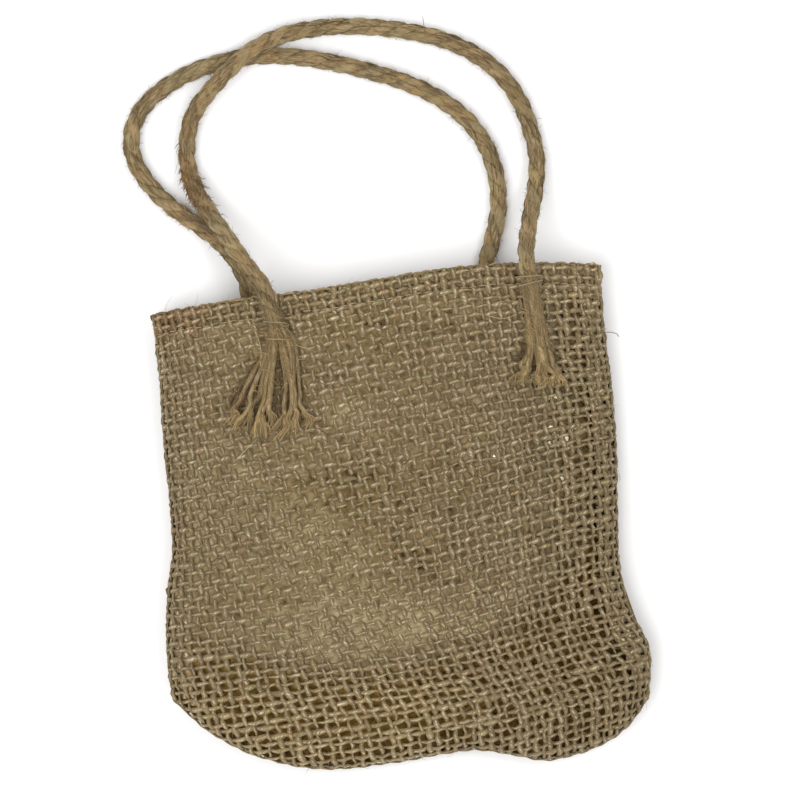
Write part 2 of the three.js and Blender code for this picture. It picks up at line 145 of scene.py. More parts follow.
# A point of the bag's front or back face, in metres, `shave` inside the outer cloth
def pillow_point(across, own, front, shave, edge, inset, top=0.0, reach=1.0):
    across = np.clip(np.asarray(across, float), 0.0, 1.0)
    own = np.clip(np.asarray(own, float), 0.0, 1.0)
    down = top + (reach - top) * own
    x, y = plan_point(across, down, inset)
    off_middle = np.abs(2 * across - 1)
    seam = curve_through(section_down, section_seam, down)
    if front:
        turned = np.maximum(0.0, (own - base_round) / (1 - base_round))
        dome = np.sqrt(1 - off_middle ** side_round) * np.sqrt(1 - turned * turned)
        crown = curve_through(section_down, section_crown, down) - shave
        z = seam + edge + (crown - seam - edge + fold_rise(x, y)) * dome
    else:
        floor = mouth_lift * (1 - smoothstep(down, 0.03, lift_end)) + shave
        at_side = np.maximum(0.0, (off_middle - curl_side) / (1 - curl_side)) ** 2
        at_base = np.maximum(0.0, (own - curl_base) / (1 - curl_base)) ** 2
        z = floor + (seam - edge - floor) * (1 - (1 - at_side) * (1 - at_base))
    return np.stack([x, y, z], axis=-1) * MM


# The middle of the cloth's thickness
half_cloth = 0.5 * cloth_thickness


def cloth_point(across, own, front):
    inset = (half_cloth, half_cloth)
    return pillow_point(across, own, front, half_cloth, half_cloth, inset, 0.0, 1 - half_cloth / bag_length)


def unit(vectors):
    return vectors / np.maximum(np.linalg.norm(vectors, axis=-1, keepdims=True), 1e-12)


def cloth_normal(across, own, front):
    step = 0.002
    low_across = np.clip(across - step, 0.0, 1.0 - 2 * step)
    low_own = np.clip(own - step, 0.0, 1.0 - 2 * step)
    rightwards = cloth_point(low_across + 2 * step, own, front) - cloth_point(low_across, own, front)
    upwards = cloth_point(across, low_own, front) - cloth_point(across, low_own + 2 * step, front)
    outwards = np.cross(rightwards, upwards)
    return unit(outwards) if front else unit(-outwards)


# Thread counts, and where each thread lies: even steps from the mouth and from a seam.
# The cloth is stretched where it turns down at its edges, so its slope counts by a share only.
warp_pitch = 2.92 * MM
weft_pitch = 2.86 * MM
warp_width = 1.66 * MM
weft_width = 1.5 * MM
yarn_height = 0.66 * MM
yarn_jitter = 0.08 * MM
crimp = 0.32 * MM
painted_crossing_light = 0.13
crest_spread = 0.16
hem_paleness = 0.14
base_paleness = 0.26
warp_lean = 0.1
weft_lean = 0.06
warp_phase = 0.35
edge_turn = np.array([0.0, 0.0, 1.1 * MM])
edge_bulge = 0.8 * MM
slope_share = np.array([1.0, 1.0, 0.55])
straight_row_left = 76.4
straight_row_rise = 3.2
weft_climb = 6.5 * MM
round_shares = 0.8 + 0.2 * np.sin(np.linspace(0.0, math.pi / 2, 80))
share_grid = np.concatenate([np.linspace(0.0, 0.8, 161), round_shares[1:]])
even_shares = np.linspace(0.0, 1.0, 181)
across_grid = 0.5 * (0.5 - 0.5 * np.cos(math.pi * even_shares) + even_shares)


def run_lengths(points):
    steps = np.linalg.norm(np.diff(points, axis=-2), axis=-1)
    start = np.zeros(steps.shape[:-1] + (1,))
    return np.concatenate([start, np.cumsum(steps, axis=-1)], axis=-1)


# A panel's own measure: runs along the draped cloth, and where its warps and wefts lie
class Panel:
    def __init__(self, front):
        self.front = front
        columns, shares = np.meshgrid(across_grid, share_grid, indexing="ij")
        self.down_runs = run_lengths(cloth_point(columns, shares, front) * slope_share)
        self.lengths = self.down_runs[:, -1]
        middle_row = cloth_point(across_grid, np.full_like(across_grid, 0.45), front)
        self.across_run = run_lengths(middle_row * slope_share)
        self.warps = round(self.across_run[-1] / warp_pitch) + 1
        self.pitch = self.across_run[-1] / (self.warps - 1)

    # Share across the bag of a warp, counted from the one along the left seam
    def across_at(self, warp):
        return np.interp(warp * self.pitch, self.across_run, across_grid)

    # Distance from the mouth of a weft row. Rows follow the hem at the mouth, then straighten,
    # and they climb towards the right seam.
    def run_at(self, row, across):
        hem_line = curve_through(mouth_across, mouth_y, across)
        straight = straight_row_left + straight_row_rise * across
        straighten = smoothstep(row, 1.0, 22.0) * (hem_line - straight) * MM
        climb = weft_climb * smoothstep(across, 0.5, 1.0) * smoothstep(row, 4.0, 30.0)
        return row * weft_pitch + straighten - climb

    def share_at(self, run, across):
        place = np.interp(across, across_grid, np.arange(len(across_grid)))
        low = np.clip(place.astype(int), 0, len(across_grid) - 2)
        part = place - low
        found = np.empty_like(run)
        for i in range(len(run)):
            runs = self.down_runs[low[i]] * (1 - part[i]) + self.down_runs[low[i] + 1] * part[i]
            found[i] = np.interp(run[i], runs, share_grid)
        return found

    def length_at(self, across):
        return np.interp(across, across_grid, self.lengths)


# Slow, seeded unevenness along a yarn
cloth_random = np.random.default_rng(7)


def uneven(random, count, spacing, size):
    knots = max(4, int(count / spacing) + 3)
    values = random.normal(0.0, size, knots)
    places = np.linspace(0.0, knots - 1.0, count)
    low = np.clip(places.astype(int), 0, knots - 2)
    t = ease(places - low)
    return values[low] * (1 - t) + values[low + 1] * t


# Joined tubes from arrays of centres, with a map along and around each yarn, a tone for each yarn
# and a tint for each of its rings.
# A yarn's relief scales the points of its rings one by one, for the ridges of a strand.
# In the bake map each yarn has a strip of its own, in columns where there are many yarns.
def yarn_mesh(name, yarns, sides):
    places = []
    corners = []
    totals = []
    yarn_places = []
    bake_places = []
    tones = []
    tints = []
    first = 0
    longest = max(yarn["length"] for yarn in yarns)
    columns = round(math.sqrt(len(yarns) / 40)) if len(yarns) > 400 else 1
    strips = math.ceil(len(yarns) / columns)
    angles = np.linspace(0.0, 2 * math.pi, sides, endpoint=False)
    for index, yarn in enumerate(yarns):
        centres = yarn["centres"]
        count = len(centres)
        along = unit(np.gradient(centres, axis=0))
        across = unit(np.cross(yarn["normals"], along))
        up = np.cross(along, across)
        relief = yarn.get("relief", np.ones((count, sides)))
        wide = yarn["half_width"][:, None] * relief * np.cos(angles)
        high = yarn["half_height"][:, None] * relief * np.sin(angles)
        ring = centres[:, None, :] + across[:, None, :] * wide[:, :, None] + up[:, None, :] * high[:, :, None]
        places.append(ring.reshape(-1, 3))
        runs = run_lengths(centres)
        here = np.arange(count - 1)[:, None] * sides + np.arange(sides)[None, :]
        beside = np.arange(count - 1)[:, None] * sides + (np.arange(sides)[None, :] + 1) % sides
        quads = np.stack([here, beside, beside + sides, here + sides], axis=-1).reshape(-1, 4) + first
        corners.append(quads.ravel())
        totals.append(np.full(len(quads), 4))
        u_low = np.repeat(runs[:-1, None], sides, axis=1)
        u_high = np.repeat(runs[1:, None], sides, axis=1)
        v_low = np.repeat((np.arange(sides) / sides)[None, :], count - 1, axis=0)
        v_high = v_low + 1.0 / sides
        u = np.stack([u_low, u_low, u_high, u_high], axis=-1).reshape(-1)
        v = np.stack([v_low, v_high, v_high, v_low], axis=-1).reshape(-1)
        near = first + np.arange(sides)[::-1]
        far = first + (count - 1) * sides + np.arange(sides)
        for cap, end in ((near, 0.0), (far, runs[-1])):
            corners.append(cap)
            totals.append(np.array([sides]))
            u = np.concatenate([u, np.full(sides, end) + 0.0003 * longest * np.cos(angles)])
            v = np.concatenate([v, 0.5 + 0.2 * np.sin(angles)])
        yarn_places.append(np.stack([u + yarn["offset"], v], axis=-1))
        column = index // strips
        strip = index % strips
        bake_u = (column + 0.004 + 0.99 * np.clip(u / longest, 0.0, 1.0)) / columns
        bake_places.append(np.stack([bake_u, (strip + 0.06 + 0.88 * v) / strips], axis=-1))
        tones.append(np.full(count * sides, yarn["tone"]))
        tint = np.broadcast_to(yarn.get("tint", (1.0, 1.0, 1.0)), (count, 3))
        tints.append(np.repeat(np.concatenate([tint, np.ones((count, 1))], axis=1), sides, axis=0))
        first += count * sides
    points = np.concatenate(places)
    loops = np.concatenate(corners).astype(np.int32)
    totals = np.concatenate(totals).astype(np.int32)
    starts = np.concatenate([[0], np.cumsum(totals)[:-1]]).astype(np.int32)
    mesh = bpy.data.meshes.new(name)
    mesh.vertices.add(len(points))
    mesh.vertices.foreach_set("co", points.astype(np.float32).ravel())
    mesh.loops.add(len(loops))
    mesh.loops.foreach_set("vertex_index", loops)
    mesh.polygons.add(len(totals))
    mesh.polygons.foreach_set("loop_start", starts)
    mesh.polygons.foreach_set("loop_total", totals)
    mesh.polygons.foreach_set("use_smooth", np.ones(len(totals), dtype=bool))
    yarn_map = mesh.uv_layers.new(name="YarnMap")
    yarn_map.data.foreach_set("uv", np.concatenate(yarn_places).astype(np.float32).ravel())
    bake_map = mesh.uv_layers.new(name="OFBake")
    bake_map.data.foreach_set("uv", np.concatenate(bake_places).astype(np.float32).ravel())
    tone = mesh.attributes.new("tone", "FLOAT", "POINT")
    tone.data.foreach_set("value", np.concatenate(tones).astype(np.float32))
    tint = mesh.attributes.new("tint", "FLOAT_COLOR", "POINT")
    tint.data.foreach_set("color", np.concatenate(tints).astype(np.float32).ravel())
    mesh.update(calc_edges=True)
    mesh.validate()
    piece = bpy.data.objects.new(name, mesh)
    bpy.context.scene.collection.objects.link(piece)
    return piece


def plain_yarn(random, centres, normals, half_width, half_height):
    return {
        "centres": centres,
        "normals": normals,
        "half_width": half_width,
        "half_height": half_height,
        "length": run_lengths(centres)[-1],
        "offset": random.uniform(0.0, 3.0),
        "tone": random.uniform(0.0, 1.0),
    }


def even_yarn(random, centres, normals, radius):
    thickness = np.full(len(centres), radius)
    return plain_yarn(random, centres, normals, thickness, thickness)


def straight_up(count):
    return np.tile((0.0, 0.0, 1.0), (count, 1))


# Slubs: a yarn's width wanders, and now and then it swells
def slubs(random, count, spacing):
    swell = 1.0 + uneven(random, count, 2.0 * spacing, 0.22) + random.normal(0.0, 0.12)
    return np.clip(swell + random.normal(0.0, 0.07, count), 0.5, 1.6)


# A yarn spreads where it passes over its neighbours. It is drawn paler there and darker where it dips under
# them, as painted light and shade, and it may turn over the edge. The cloth is also paler along its hem and
# the left of its base.
def cloth_yarn(centres, normals, wave, spacing, width, tint, turn_first, turn_last):
    centres = centres + normals * (crimp * wave)[:, None]
    tint = np.asarray(tint) * (0.96 + painted_crossing_light * wave)[:, None]
    centres = centres + cloth_random.normal(0.0, yarn_jitter, centres.shape)
    spread = 1.0 + crest_spread * wave
    before = centres[:1] + unit(centres[:1] - centres[1:2]) * edge_bulge - edge_turn
    after = centres[-1:] + unit(centres[-1:] - centres[-2:-1]) * edge_bulge - edge_turn
    if turn_first:
        centres = np.concatenate([before, centres])
        normals, tint, spread = (np.concatenate([part[:1], part]) for part in (normals, tint, spread))
    if turn_last:
        centres = np.concatenate([centres, after])
        normals, tint, spread = (np.concatenate([part, part[-1:]]) for part in (normals, tint, spread))
    swell = slubs(cloth_random, len(centres), spacing) * spread
    half_height = 0.5 * yarn_height * np.sqrt(swell)
    centres[:, 2] = np.maximum(centres[:, 2], half_height)
    yarn = plain_yarn(cloth_random, centres, normals, 0.5 * width * swell, half_height)
    x = centres[:, 0] / MM
    y = centres[:, 1] / MM
    paler = 1.0 + hem_paleness * smoothstep(y, 60.0, 70.0)
    paler = paler + base_paleness * smoothstep(-y, 40.0, 60.0) * smoothstep(-x, -35.0, 0.0)
    yarn["tint"] = tint * rosy_stains(centres) * paler[:, None]
    return yarn


# Reddish stains on the cloth: place, reach across and down the bag, and strength
rosy_places = [
    (-69.0, 75.0, 11.0, 6.0, 1.0), (-74.5, 3.0, 4.0, 6.0, 0.9), (-43.0, -6.5, 4.0, 3.0, 0.5),
    (15.5, 33.5, 3.5, 2.0, 0.6), (-4.0, 1.5, 2.5, 3.0, 0.5), (66.0, -36.0, 6.0, 5.0, 0.4),
]
rosy_loss = np.array([0.12, 0.25, 0.30])


def rosy_stains(centres):
    keep = np.ones((len(centres), 3))
    for x, y, across, down, strength in rosy_places:
        off = np.hypot((centres[:, 0] / MM - x) / across, (centres[:, 1] / MM - y) / down)
        keep = keep - strength * np.exp(-off * off)[:, None] * rosy_loss
    return keep


warp_tint = (0.92, 0.91, 0.88)
weft_tint = (1.04, 1.04, 1.03)

# The mouth is turned in: a run below zero goes over the edge and down the inside.
# The turned-in cloth is squeezed flat, so its yarns are wider.
hem_bend = 0.55 * MM
hem_turn = math.pi * hem_bend
hem_depth = 9.6 * MM
inner_width = 2.4 * MM
# The turned-in and seam yarns are drawn paler than the cloth: painted light on inner layers that lie in shade
inner_painted_light_tint = (1.3, 1.28, 1.22)


def turned_cloth(panel, across, runs):
    over = np.maximum(-runs, 0.0)
    bent = np.minimum(over / hem_bend, math.pi)
    inside = np.maximum(over - hem_turn, 0.0)
    share = panel.share_at(np.where(runs < 0.0, inside, runs), across)
    centres = cloth_point(across, share, panel.front)
    normals = cloth_normal(across, share, panel.front)
    ahead = cloth_point(across, np.zeros_like(across), panel.front)
    behind = cloth_point(across, np.full_like(across, 0.01), panel.front)
    out = unit(ahead - behind)
    centres = centres + normals * (hem_bend * (np.cos(bent) - 1))[:, None]
    centres = centres + out * (hem_bend * np.sin(bent))[:, None]
    facing = normals * np.cos(bent)[:, None] + out * np.sin(bent)[:, None]
    return centres, unit(facing)


# Every warp from the mouth to the base, then every weft from seam to seam
def weave_panel(panel, steps):
    yarns = []
    for warp in range(panel.warps):
        across_now = float(panel.across_at(warp))
        last = panel.length_at(across_now)
        rows = np.arange(-1.0, last / weft_pitch + 8.0, 1.0 / steps)
        sway = uneven(cloth_random, len(rows), 3 * steps, 0.12) + cloth_random.normal(0, 0.08)
        sway = sway + warp_lean * np.sin(math.pi * (rows - warp_phase + warp))
        across = np.clip(panel.across_at(warp + sway), 0.0, 1.0)
        runs = panel.run_at(rows, across)
        keep = (runs <= last) & (runs >= -hem_turn)
        rows, across, runs = rows[keep], across[keep], runs[keep]
        centres, normals = turned_cloth(panel, across, runs)
        wave = np.cos(math.pi * (rows - warp_phase + warp)) * smoothstep(runs, -1.5 * MM, 1.0 * MM)
        yarns.append(cloth_yarn(centres, normals, wave, steps, warp_width, warp_tint, False, panel.front))
    for row in range(0, int(panel.lengths.max() / weft_pitch) + 8):
        places = np.arange(0.0, panel.warps - 0.99, 1.0 / steps)
        across = panel.across_at(places)
        sway = uneven(cloth_random, len(places), 4 * steps, 0.09) + cloth_random.normal(0, 0.07)
        sway = sway + weft_lean * np.sin(math.pi * (places + row))
        runs = panel.run_at(row + warp_phase + sway, across)
        inside = (runs <= panel.length_at(across)) & (runs >= 0.0)
        edges = np.flatnonzero(np.diff(np.concatenate([[0], inside.astype(int), [0]])))
        for start, stop in zip(edges[::2], edges[1::2]):
            if stop - start < 2 * steps:
                continue
            part = slice(start, stop)
            share = panel.share_at(runs[part], across[part])
            centres = cloth_point(across[part], share, panel.front)
            normals = cloth_normal(across[part], share, panel.front)
            wave = -np.cos(math.pi * (places[part] + row))
            turned = panel.front
            yarns.append(cloth_yarn(centres, normals, wave, steps, weft_width, weft_tint, turned, turned))
    return yarns


# The turned-in layer of the hem: a weft in the fold, and short warp ends and wefts behind
def weave_hem(panel, steps):
    yarns = []
    for warp in range(panel.warps):
        runs = -np.arange(hem_turn - 0.4 * MM, hem_depth + hem_turn, weft_pitch / steps)
        sway = uneven(cloth_random, len(runs), 2 * steps, 0.1) + cloth_random.normal(0, 0.1)
        across = np.clip(panel.across_at(warp + sway), 0.0, 1.0)
        centres, normals = turned_cloth(panel, across, runs)
        wave = np.cos(math.pi * (runs / weft_pitch + warp))
        yarns.append(cloth_yarn(centres, normals, wave, steps, inner_width, inner_painted_light_tint, False, False))
    for row in range(4):
        places = np.arange(0.0, panel.warps - 0.99, 1.0 / steps)
        across = panel.across_at(places)
        sway = uneven(cloth_random, len(places), 4 * steps, 0.1)
        runs = -(hem_turn + (row - 0.3 + sway) * weft_pitch)
        centres, normals = turned_cloth(panel, across, runs)
        wave = -np.cos(math.pi * (places + row))
        width = inner_width if row else weft_width
        yarns.append(cloth_yarn(centres, normals, wave, steps, width, inner_painted_light_tint, False, False))
    return yarns


# The seam allowance inside one side: three warps and the weft ends, close behind the front cloth
allowance_warps = 3
allowance_gap = 0.9 * MM


def weave_allowance(panel, from_left, steps):
    yarns = []
    for warp in range(allowance_warps):
        place = warp + 0.5 if from_left else panel.warps - 1.5 - warp
        runs = np.arange(hem_depth, 0.97 * panel.length_at(panel.across_at(place)), weft_pitch / steps)
        sway = uneven(cloth_random, len(runs), 3 * steps, 0.1)
        across = np.clip(panel.across_at(place + sway), 0.0, 1.0)
        share = panel.share_at(runs, across)
        normals = cloth_normal(across, share, panel.front)
        centres = cloth_point(across, share, panel.front) - normals * allowance_gap
        wave = np.cos(math.pi * (runs / weft_pitch + warp))
        yarns.append(cloth_yarn(centres, normals, wave, steps, inner_width, inner_painted_light_tint, False, False))
    places = np.arange(0.1, allowance_warps + 0.2, 1.0 / steps)
    across = panel.across_at(places if from_left else panel.warps - 1.0 - places)
    for run in np.arange(hem_depth, 0.96 * panel.length_at(across).min(), weft_pitch):
        runs = np.full_like(across, run + cloth_random.normal(0.0, 0.2 * MM))
        share = panel.share_at(runs, across)
        normals = cloth_normal(across, share, panel.front)
        centres = cloth_point(across, share, panel.front) - normals * allowance_gap
        wave = -np.cos(math.pi * (places + run / weft_pitch))
        yarns.append(cloth_yarn(centres, normals, wave, steps, inner_width, inner_painted_light_tint, False, False))
    return yarns


# The yarn that closes the edge: down the left seam, along the fold at the base and up the right seam
rim_top = 0.07
rim_half_height = 0.85 * MM
rim_half_depth = 0.5 * MM
rim_proud = 0.3 * MM
rim_bump = 0.2 * MM
rim_steps = 100


def rim_yarn():
    side = np.linspace(rim_top, 1.0, rim_steps)
    base = np.linspace(0.0, 1.0, rim_steps + 12)[1:-1]
    across = np.concatenate([np.zeros_like(side), base, np.ones_like(side)])
    own = np.concatenate([side, np.ones_like(base), side[::-1]])
    centres = 0.5 * (cloth_point(across, own, True) + cloth_point(across, own, False))
    along = unit(np.gradient(centres, axis=0))
    outwards = unit(np.cross(along, (0.0, 0.0, 1.0)))
    bumps = rim_proud + rim_bump * np.cos(math.pi * run_lengths(centres) / weft_pitch)
    centres = centres + outwards * bumps[:, None]
    swell = np.sqrt(slubs(cloth_random, len(centres), 2.0))
    yarn = plain_yarn(cloth_random, centres, outwards, rim_half_height * swell, rim_half_depth * swell)
    yarn["tint"] = warp_tint
    return yarn


front_panel = Panel(True)
back_panel = Panel(False)
front_yarns = weave_panel(front_panel, 3)
back_yarns = weave_panel(back_panel, 2.5)
hem_yarns = weave_hem(front_panel, 3) + weave_hem(back_panel, 3)
cloth_front = yarn_mesh("cloth_front", front_yarns, 5)
cloth_back = yarn_mesh("cloth_back", back_yarns, 4)
cloth_hem = yarn_mesh("cloth_hem", hem_yarns, 5)
seam_yarns = weave_allowance(front_panel, True, 2) + weave_allowance(front_panel, False, 2)
cloth_seams = yarn_mesh("cloth_seams", seam_yarns + [rim_yarn()], 5)


# A hair that leaves a yarn at an angle and bends back towards it
def hair(random, start, heading, away, length, radius, rings):
    run = np.linspace(0.0, 1.0, rings)[:, None] * length
    sideways = unit(np.cross(heading, away)) * random.normal(0.0, 0.35)
    bend = (sideways - away * random.uniform(0.1, 0.5)) / length
    line = start + unit(heading) * run + bend * run * run
    normals = np.tile(away, (len(line), 1))
    thickness = radius * np.linspace(1.0, 0.45, len(line))
    return plain_yarn(random, line, normals, thickness, thickness)


hair_radius = 0.065 * MM
hair_tint = (1.5, 1.5, 1.5)
ground_gap = 0.1 * MM


# Hairs on the outer side of a panel's yarns, most of them nearly along the yarn
def cloth_hairs(random, yarns, count):
    hairs = []
    weights = np.array([yarn["length"] for yarn in yarns])
    chosen = random.choice(len(yarns), count, p=weights / weights.sum())
    for yarn in (yarns[i] for i in chosen):
        place = random.integers(1, len(yarn["centres"]) - 1)
        along = unit(yarn["centres"][place + 1] - yarn["centres"][place - 1])
        away = yarn["normals"][place]
        across = np.cross(away, along)
        start = yarn["centres"][place] + away * 0.7 * yarn["half_height"][place]
        start = start + across * yarn["half_width"][place] * random.uniform(-0.9, 0.9)
        swing = random.normal(0.0, 0.8)
        heading = along * math.cos(swing) + across * math.sin(swing) + away * random.uniform(0.0, 0.35)
        length = min(6.5, random.lognormal(0.8, 0.5)) * MM
        heading = heading * random.choice([-1.0, 1.0]) + away * 0.12
        strand = hair(random, start, heading, away, length, hair_radius, 5)
        strand["tint"] = hair_tint
        strand["centres"][:, 2] = np.maximum(strand["centres"][:, 2], ground_gap)
        hairs.append(strand)
    return hairs


hair_random = np.random.default_rng(11)
front_hair_count = 5600
back_hair_count = 700
front_hairs = cloth_hairs(hair_random, front_yarns, front_hair_count)
edge_loop = np.array([(74.4, 57.6, 11.2), (76.4, 57.4, 11.6), (78.2, 56.8, 11.5), (78.9, 55.7, 11.0)]) * MM
front_hairs.append(even_yarn(hair_random, edge_loop, straight_up(len(edge_loop)), 0.17 * MM))
cloth_fuzz = yarn_mesh("cloth_fuzz", front_hairs, 3)
back_fuzz = yarn_mesh("back_fuzz", cloth_hairs(hair_random, back_yarns, back_hair_count), 3)

# Jute fibre: streaks that wind along a yarn, lengths of other shades, a painted highlight along the crest,
# painted shade in the grooves, and a height for the fibres' relief
fibre = bpy.data.node_groups.new("jute fibre", "ShaderNodeTree")
for socket_name, socket_kind in (
    ("Map", "NodeSocketVector"),
    ("Tone", "NodeSocketFloat"),
    ("Pale", "NodeSocketColor"),
    ("Dark", "NodeSocketColor"),
    ("Twist", "NodeSocketFloat"),
    ("Fineness", "NodeSocketFloat"),
    ("Tint", "NodeSocketColor"),
    ("Crest Highlight", "NodeSocketFloat"),
    ("Groove Shade", "NodeSocketFloat"),
):
    fibre.interface.new_socket(socket_name, in_out="INPUT", socket_type=socket_kind)
fibre.interface.new_socket("Color", in_out="OUTPUT", socket_type="NodeSocketColor")
fibre.interface.new_socket("Height", in_out="OUTPUT", socket_type="NodeSocketFloat")
# Sockets of a node that mixes colours
mix_a = 6
mix_b = 7
mix_result = 2


# A node's inputs are linked from sockets, or set to numbers and colours
def set_inputs(tree, node, values):
    for place, value in values.items():
        if hasattr(value, "is_linked"):
            tree.links.new(value, node.inputs[place])
        elif isinstance(value, tuple):
            node.inputs[place].default_value = (*value, 1.0)
        else:
            node.inputs[place].default_value = value


def add_node(tree, kind, inputs=None, **settings):
    node = tree.nodes.new(kind)
    for key, value in settings.items():
        setattr(node, key, value)
    set_inputs(tree, node, inputs or {})
    return node


def add_math(tree, operation, *values, clamp=False):
    inputs = dict(enumerate(values))
    return add_node(tree, "ShaderNodeMath", inputs, operation=operation, use_clamp=clamp).outputs[0]


# Two colours mixed or multiplied by a factor
def add_mix(tree, blend, factor, first, second):
    inputs = {0: factor, mix_a: first, mix_b: second}
    node = add_node(tree, "ShaderNodeMix", inputs, data_type="RGBA", blend_type=blend)
    return node.outputs[mix_result]


def add_noise(tree, dimensions, inputs):
    return add_node(tree, "ShaderNodeTexNoise", inputs, noise_dimensions=dimensions).outputs["Fac"]


fibre_in = add_node(fibre, "NodeGroupInput").outputs
fibre_out = add_node(fibre, "NodeGroupOutput").inputs
split = add_node(fibre, "ShaderNodeSeparateXYZ", {0: fibre_in["Map"]})
along = split.outputs["X"]
wound = add_math(fibre, "MULTIPLY_ADD", along, fibre_in["Twist"], split.outputs["Y"])
angle = add_math(fibre, "MULTIPLY", wound, 2 * math.pi)
streak_inputs = {
    0: add_math(fibre, "MULTIPLY", along, 110.0),
    1: add_math(fibre, "COSINE", angle),
    2: add_math(fibre, "SINE", angle),
}
streak_place = add_node(fibre, "ShaderNodeCombineXYZ", streak_inputs).outputs[0]
fineness = fibre_in["Fineness"]
fleck_scale = add_math(fibre, "MULTIPLY", fineness, 0.8)
streaks = add_noise(fibre, "3D", {"Vector": streak_place, "Scale": fineness, "Detail": 4.0, "Roughness": 0.7})
flecks = add_noise(fibre, "3D", {"Vector": streak_place, "Scale": fleck_scale, "Detail": 1.0})
shade_place = add_math(fibre, "MULTIPLY_ADD", fibre_in["Tone"], 37.0, along)


def shade_noise(scale, shift):
    place = add_math(fibre, "ADD", shade_place, shift)
    return add_noise(fibre, "1D", {"W": place, "Scale": scale, "Detail": 2.0})


def shade_mask(noise, low, high):
    inputs = {"Value": noise, "From Min": low, "From Max": high}
    mask = add_node(fibre, "ShaderNodeMapRange", inputs, interpolation_type="SMOOTHSTEP")
    return mask.outputs["Result"]


lightness = add_math(fibre, "MULTIPLY_ADD", streaks, 2.6, -1.3)
lightness = add_math(fibre, "MULTIPLY_ADD", shade_noise(110.0, 0.0), 1.1, lightness)
lightness = add_math(fibre, "MULTIPLY_ADD", fibre_in["Tone"], 0.25, lightness, clamp=True)
shade = add_mix(fibre, "MIX", lightness, fibre_in["Dark"], fibre_in["Pale"])
# Lengths of other shades: how often, where, the mask's two limits and the tint
olive_length = (60.0, 5.0, 0.55, 0.72, (0.93, 0.98, 0.89))
rosy_length = (75.0, 11.0, 0.58, 0.72, (1.0, 0.93, 0.90))
golden_length = (95.0, 17.0, 0.6, 0.75, (1.0, 0.96, 0.85))
for scale, shift, low, high, length_tint in (olive_length, rosy_length, golden_length):
    length_mask = shade_mask(shade_noise(scale, shift), low, high)
    shade = add_mix(fibre, "MULTIPLY", length_mask, shade, length_tint)
shade = add_mix(fibre, "MULTIPLY", 1.0, shade, fibre_in["Tint"])
outward = add_math(fibre, "SINE", add_math(fibre, "MULTIPLY", split.outputs["Y"], 2 * math.pi))
ragged = add_math(fibre, "MULTIPLY_ADD", streaks, 0.5, -0.25)
outward = add_math(fibre, "ADD", outward, ragged)
# Painted highlight: the top of each yarn, where light falls, is drawn paler and cooler
crest_highlight = add_math(fibre, "MULTIPLY", shade_mask(outward, 0.95, 1.07), fibre_in["Crest Highlight"])
# Painted shade: the sides of each yarn and strand, turned down into the grooves, are drawn darker
groove_shade = add_math(fibre, "MULTIPLY", shade_mask(outward, 0.35, -0.1), fibre_in["Groove Shade"])
# Dark bark flecks: the jute's own specks, with more of them in the grooves as painted shade
bark = shade_mask(add_math(fibre, "MULTIPLY_ADD", groove_shade, 0.3, flecks), 0.64, 0.72)
shade = add_mix(fibre, "MULTIPLY", bark, shade, (0.55, 0.40, 0.28))
# Painted shade in the grooves, then the painted highlight on the crest
shade = add_mix(fibre, "MULTIPLY", groove_shade, shade, (0.25, 0.17, 0.09))
shade = add_mix(fibre, "MULTIPLY", crest_highlight, shade, (0.91, 1.03, 1.36))
shade = add_mix(fibre, "MULTIPLY", 1.0, shade, add_math(fibre, "ADD", crest_highlight, 1.0))
fibre.links.new(shade, fibre_out["Color"])
fibre.links.new(streaks, fibre_out["Height"])


# The crest highlight and the groove shade are painted into the base colour.
# The sheen is the pale look of the short fuzz on a rope or yarn
def jute_material(name, pale, dark, twist, fineness, bump_depth, crest_highlight, groove_shade, sheen):
    material = bpy.data.materials.new(name)
    material.use_nodes = True
    tree = material.node_tree
    shader = tree.nodes["Principled BSDF"]
    jute = add_node(tree, "ShaderNodeGroup", node_tree=fibre)
    set_inputs(tree, jute, {
        "Map": add_node(tree, "ShaderNodeUVMap", uv_map="YarnMap").outputs["UV"],
        "Tone": add_node(tree, "ShaderNodeAttribute", attribute_name="tone").outputs["Fac"],
        "Tint": add_node(tree, "ShaderNodeAttribute", attribute_name="tint").outputs["Color"],
        "Pale": pale, "Dark": dark, "Twist": twist, "Fineness": fineness, "Crest Highlight": crest_highlight, "Groove Shade": groove_shade,
    })
    bump_inputs = {"Strength": 0.8, "Distance": bump_depth, "Height": jute.outputs["Height"]}
    set_inputs(tree, shader, {
        "Base Color": jute.outputs["Color"],
        "Normal": add_node(tree, "ShaderNodeBump", bump_inputs).outputs["Normal"],
        "Roughness": 0.8,
        "Specular IOR Level": 0.3,
        "Sheen Weight": sheen,
        "Sheen Roughness": 0.45,
        "Sheen Tint": (1.0, 0.83, 0.52),
    })
    return material


cloth_material = jute_material(
    "cloth jute", pale=(0.204, 0.153, 0.081), dark=(0.108, 0.071, 0.028), twist=180.0, fineness=1.5,
    bump_depth=0.3 * MM, crest_highlight=1.55, groove_shade=0.1, sheen=0.2,
)
for piece in (cloth_front, cloth_back, cloth_hem, cloth_seams, cloth_fuzz, back_fuzz):
    piece.data.materials.append(cloth_material)
    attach(piece, "root")
    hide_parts("bag_cloth")


# Lining film
# A loose clear plastic bag, open at the mouth and sealed down its sides and along its base.
# It is crumpled and pushed in, and touches the upper part of the front panel and all of the back.
film_top = 8.0
film_side = (1.4, 6.0)
film_reach_across = [0.0, 0.07, 0.15, 0.25, 0.5, 0.63, 0.75, 0.88, 1.0]
film_reach_down = [0.92, 0.9, 0.88, 0.895, 0.92, 0.89, 0.845, 0.785, 0.7]
film_shave = 0.5
film_edge = 0.5
back_film_depth = 0.75
back_film_inset = 0.9
# The back sheet is drawn darker all over, as painted shade inside the bag
back_film_painted_shade = -0.2
# Shares down and across where the front sheet turns away from the cloth into shade,
# and how shaded its right side and the sealed rim are
film_base_turn = (0.84, 0.93)
film_right_turn = (0.93, 0.98)
film_right_shade = 0.3
film_rim_shade = 0.8
film_random = np.random.default_rng(21)
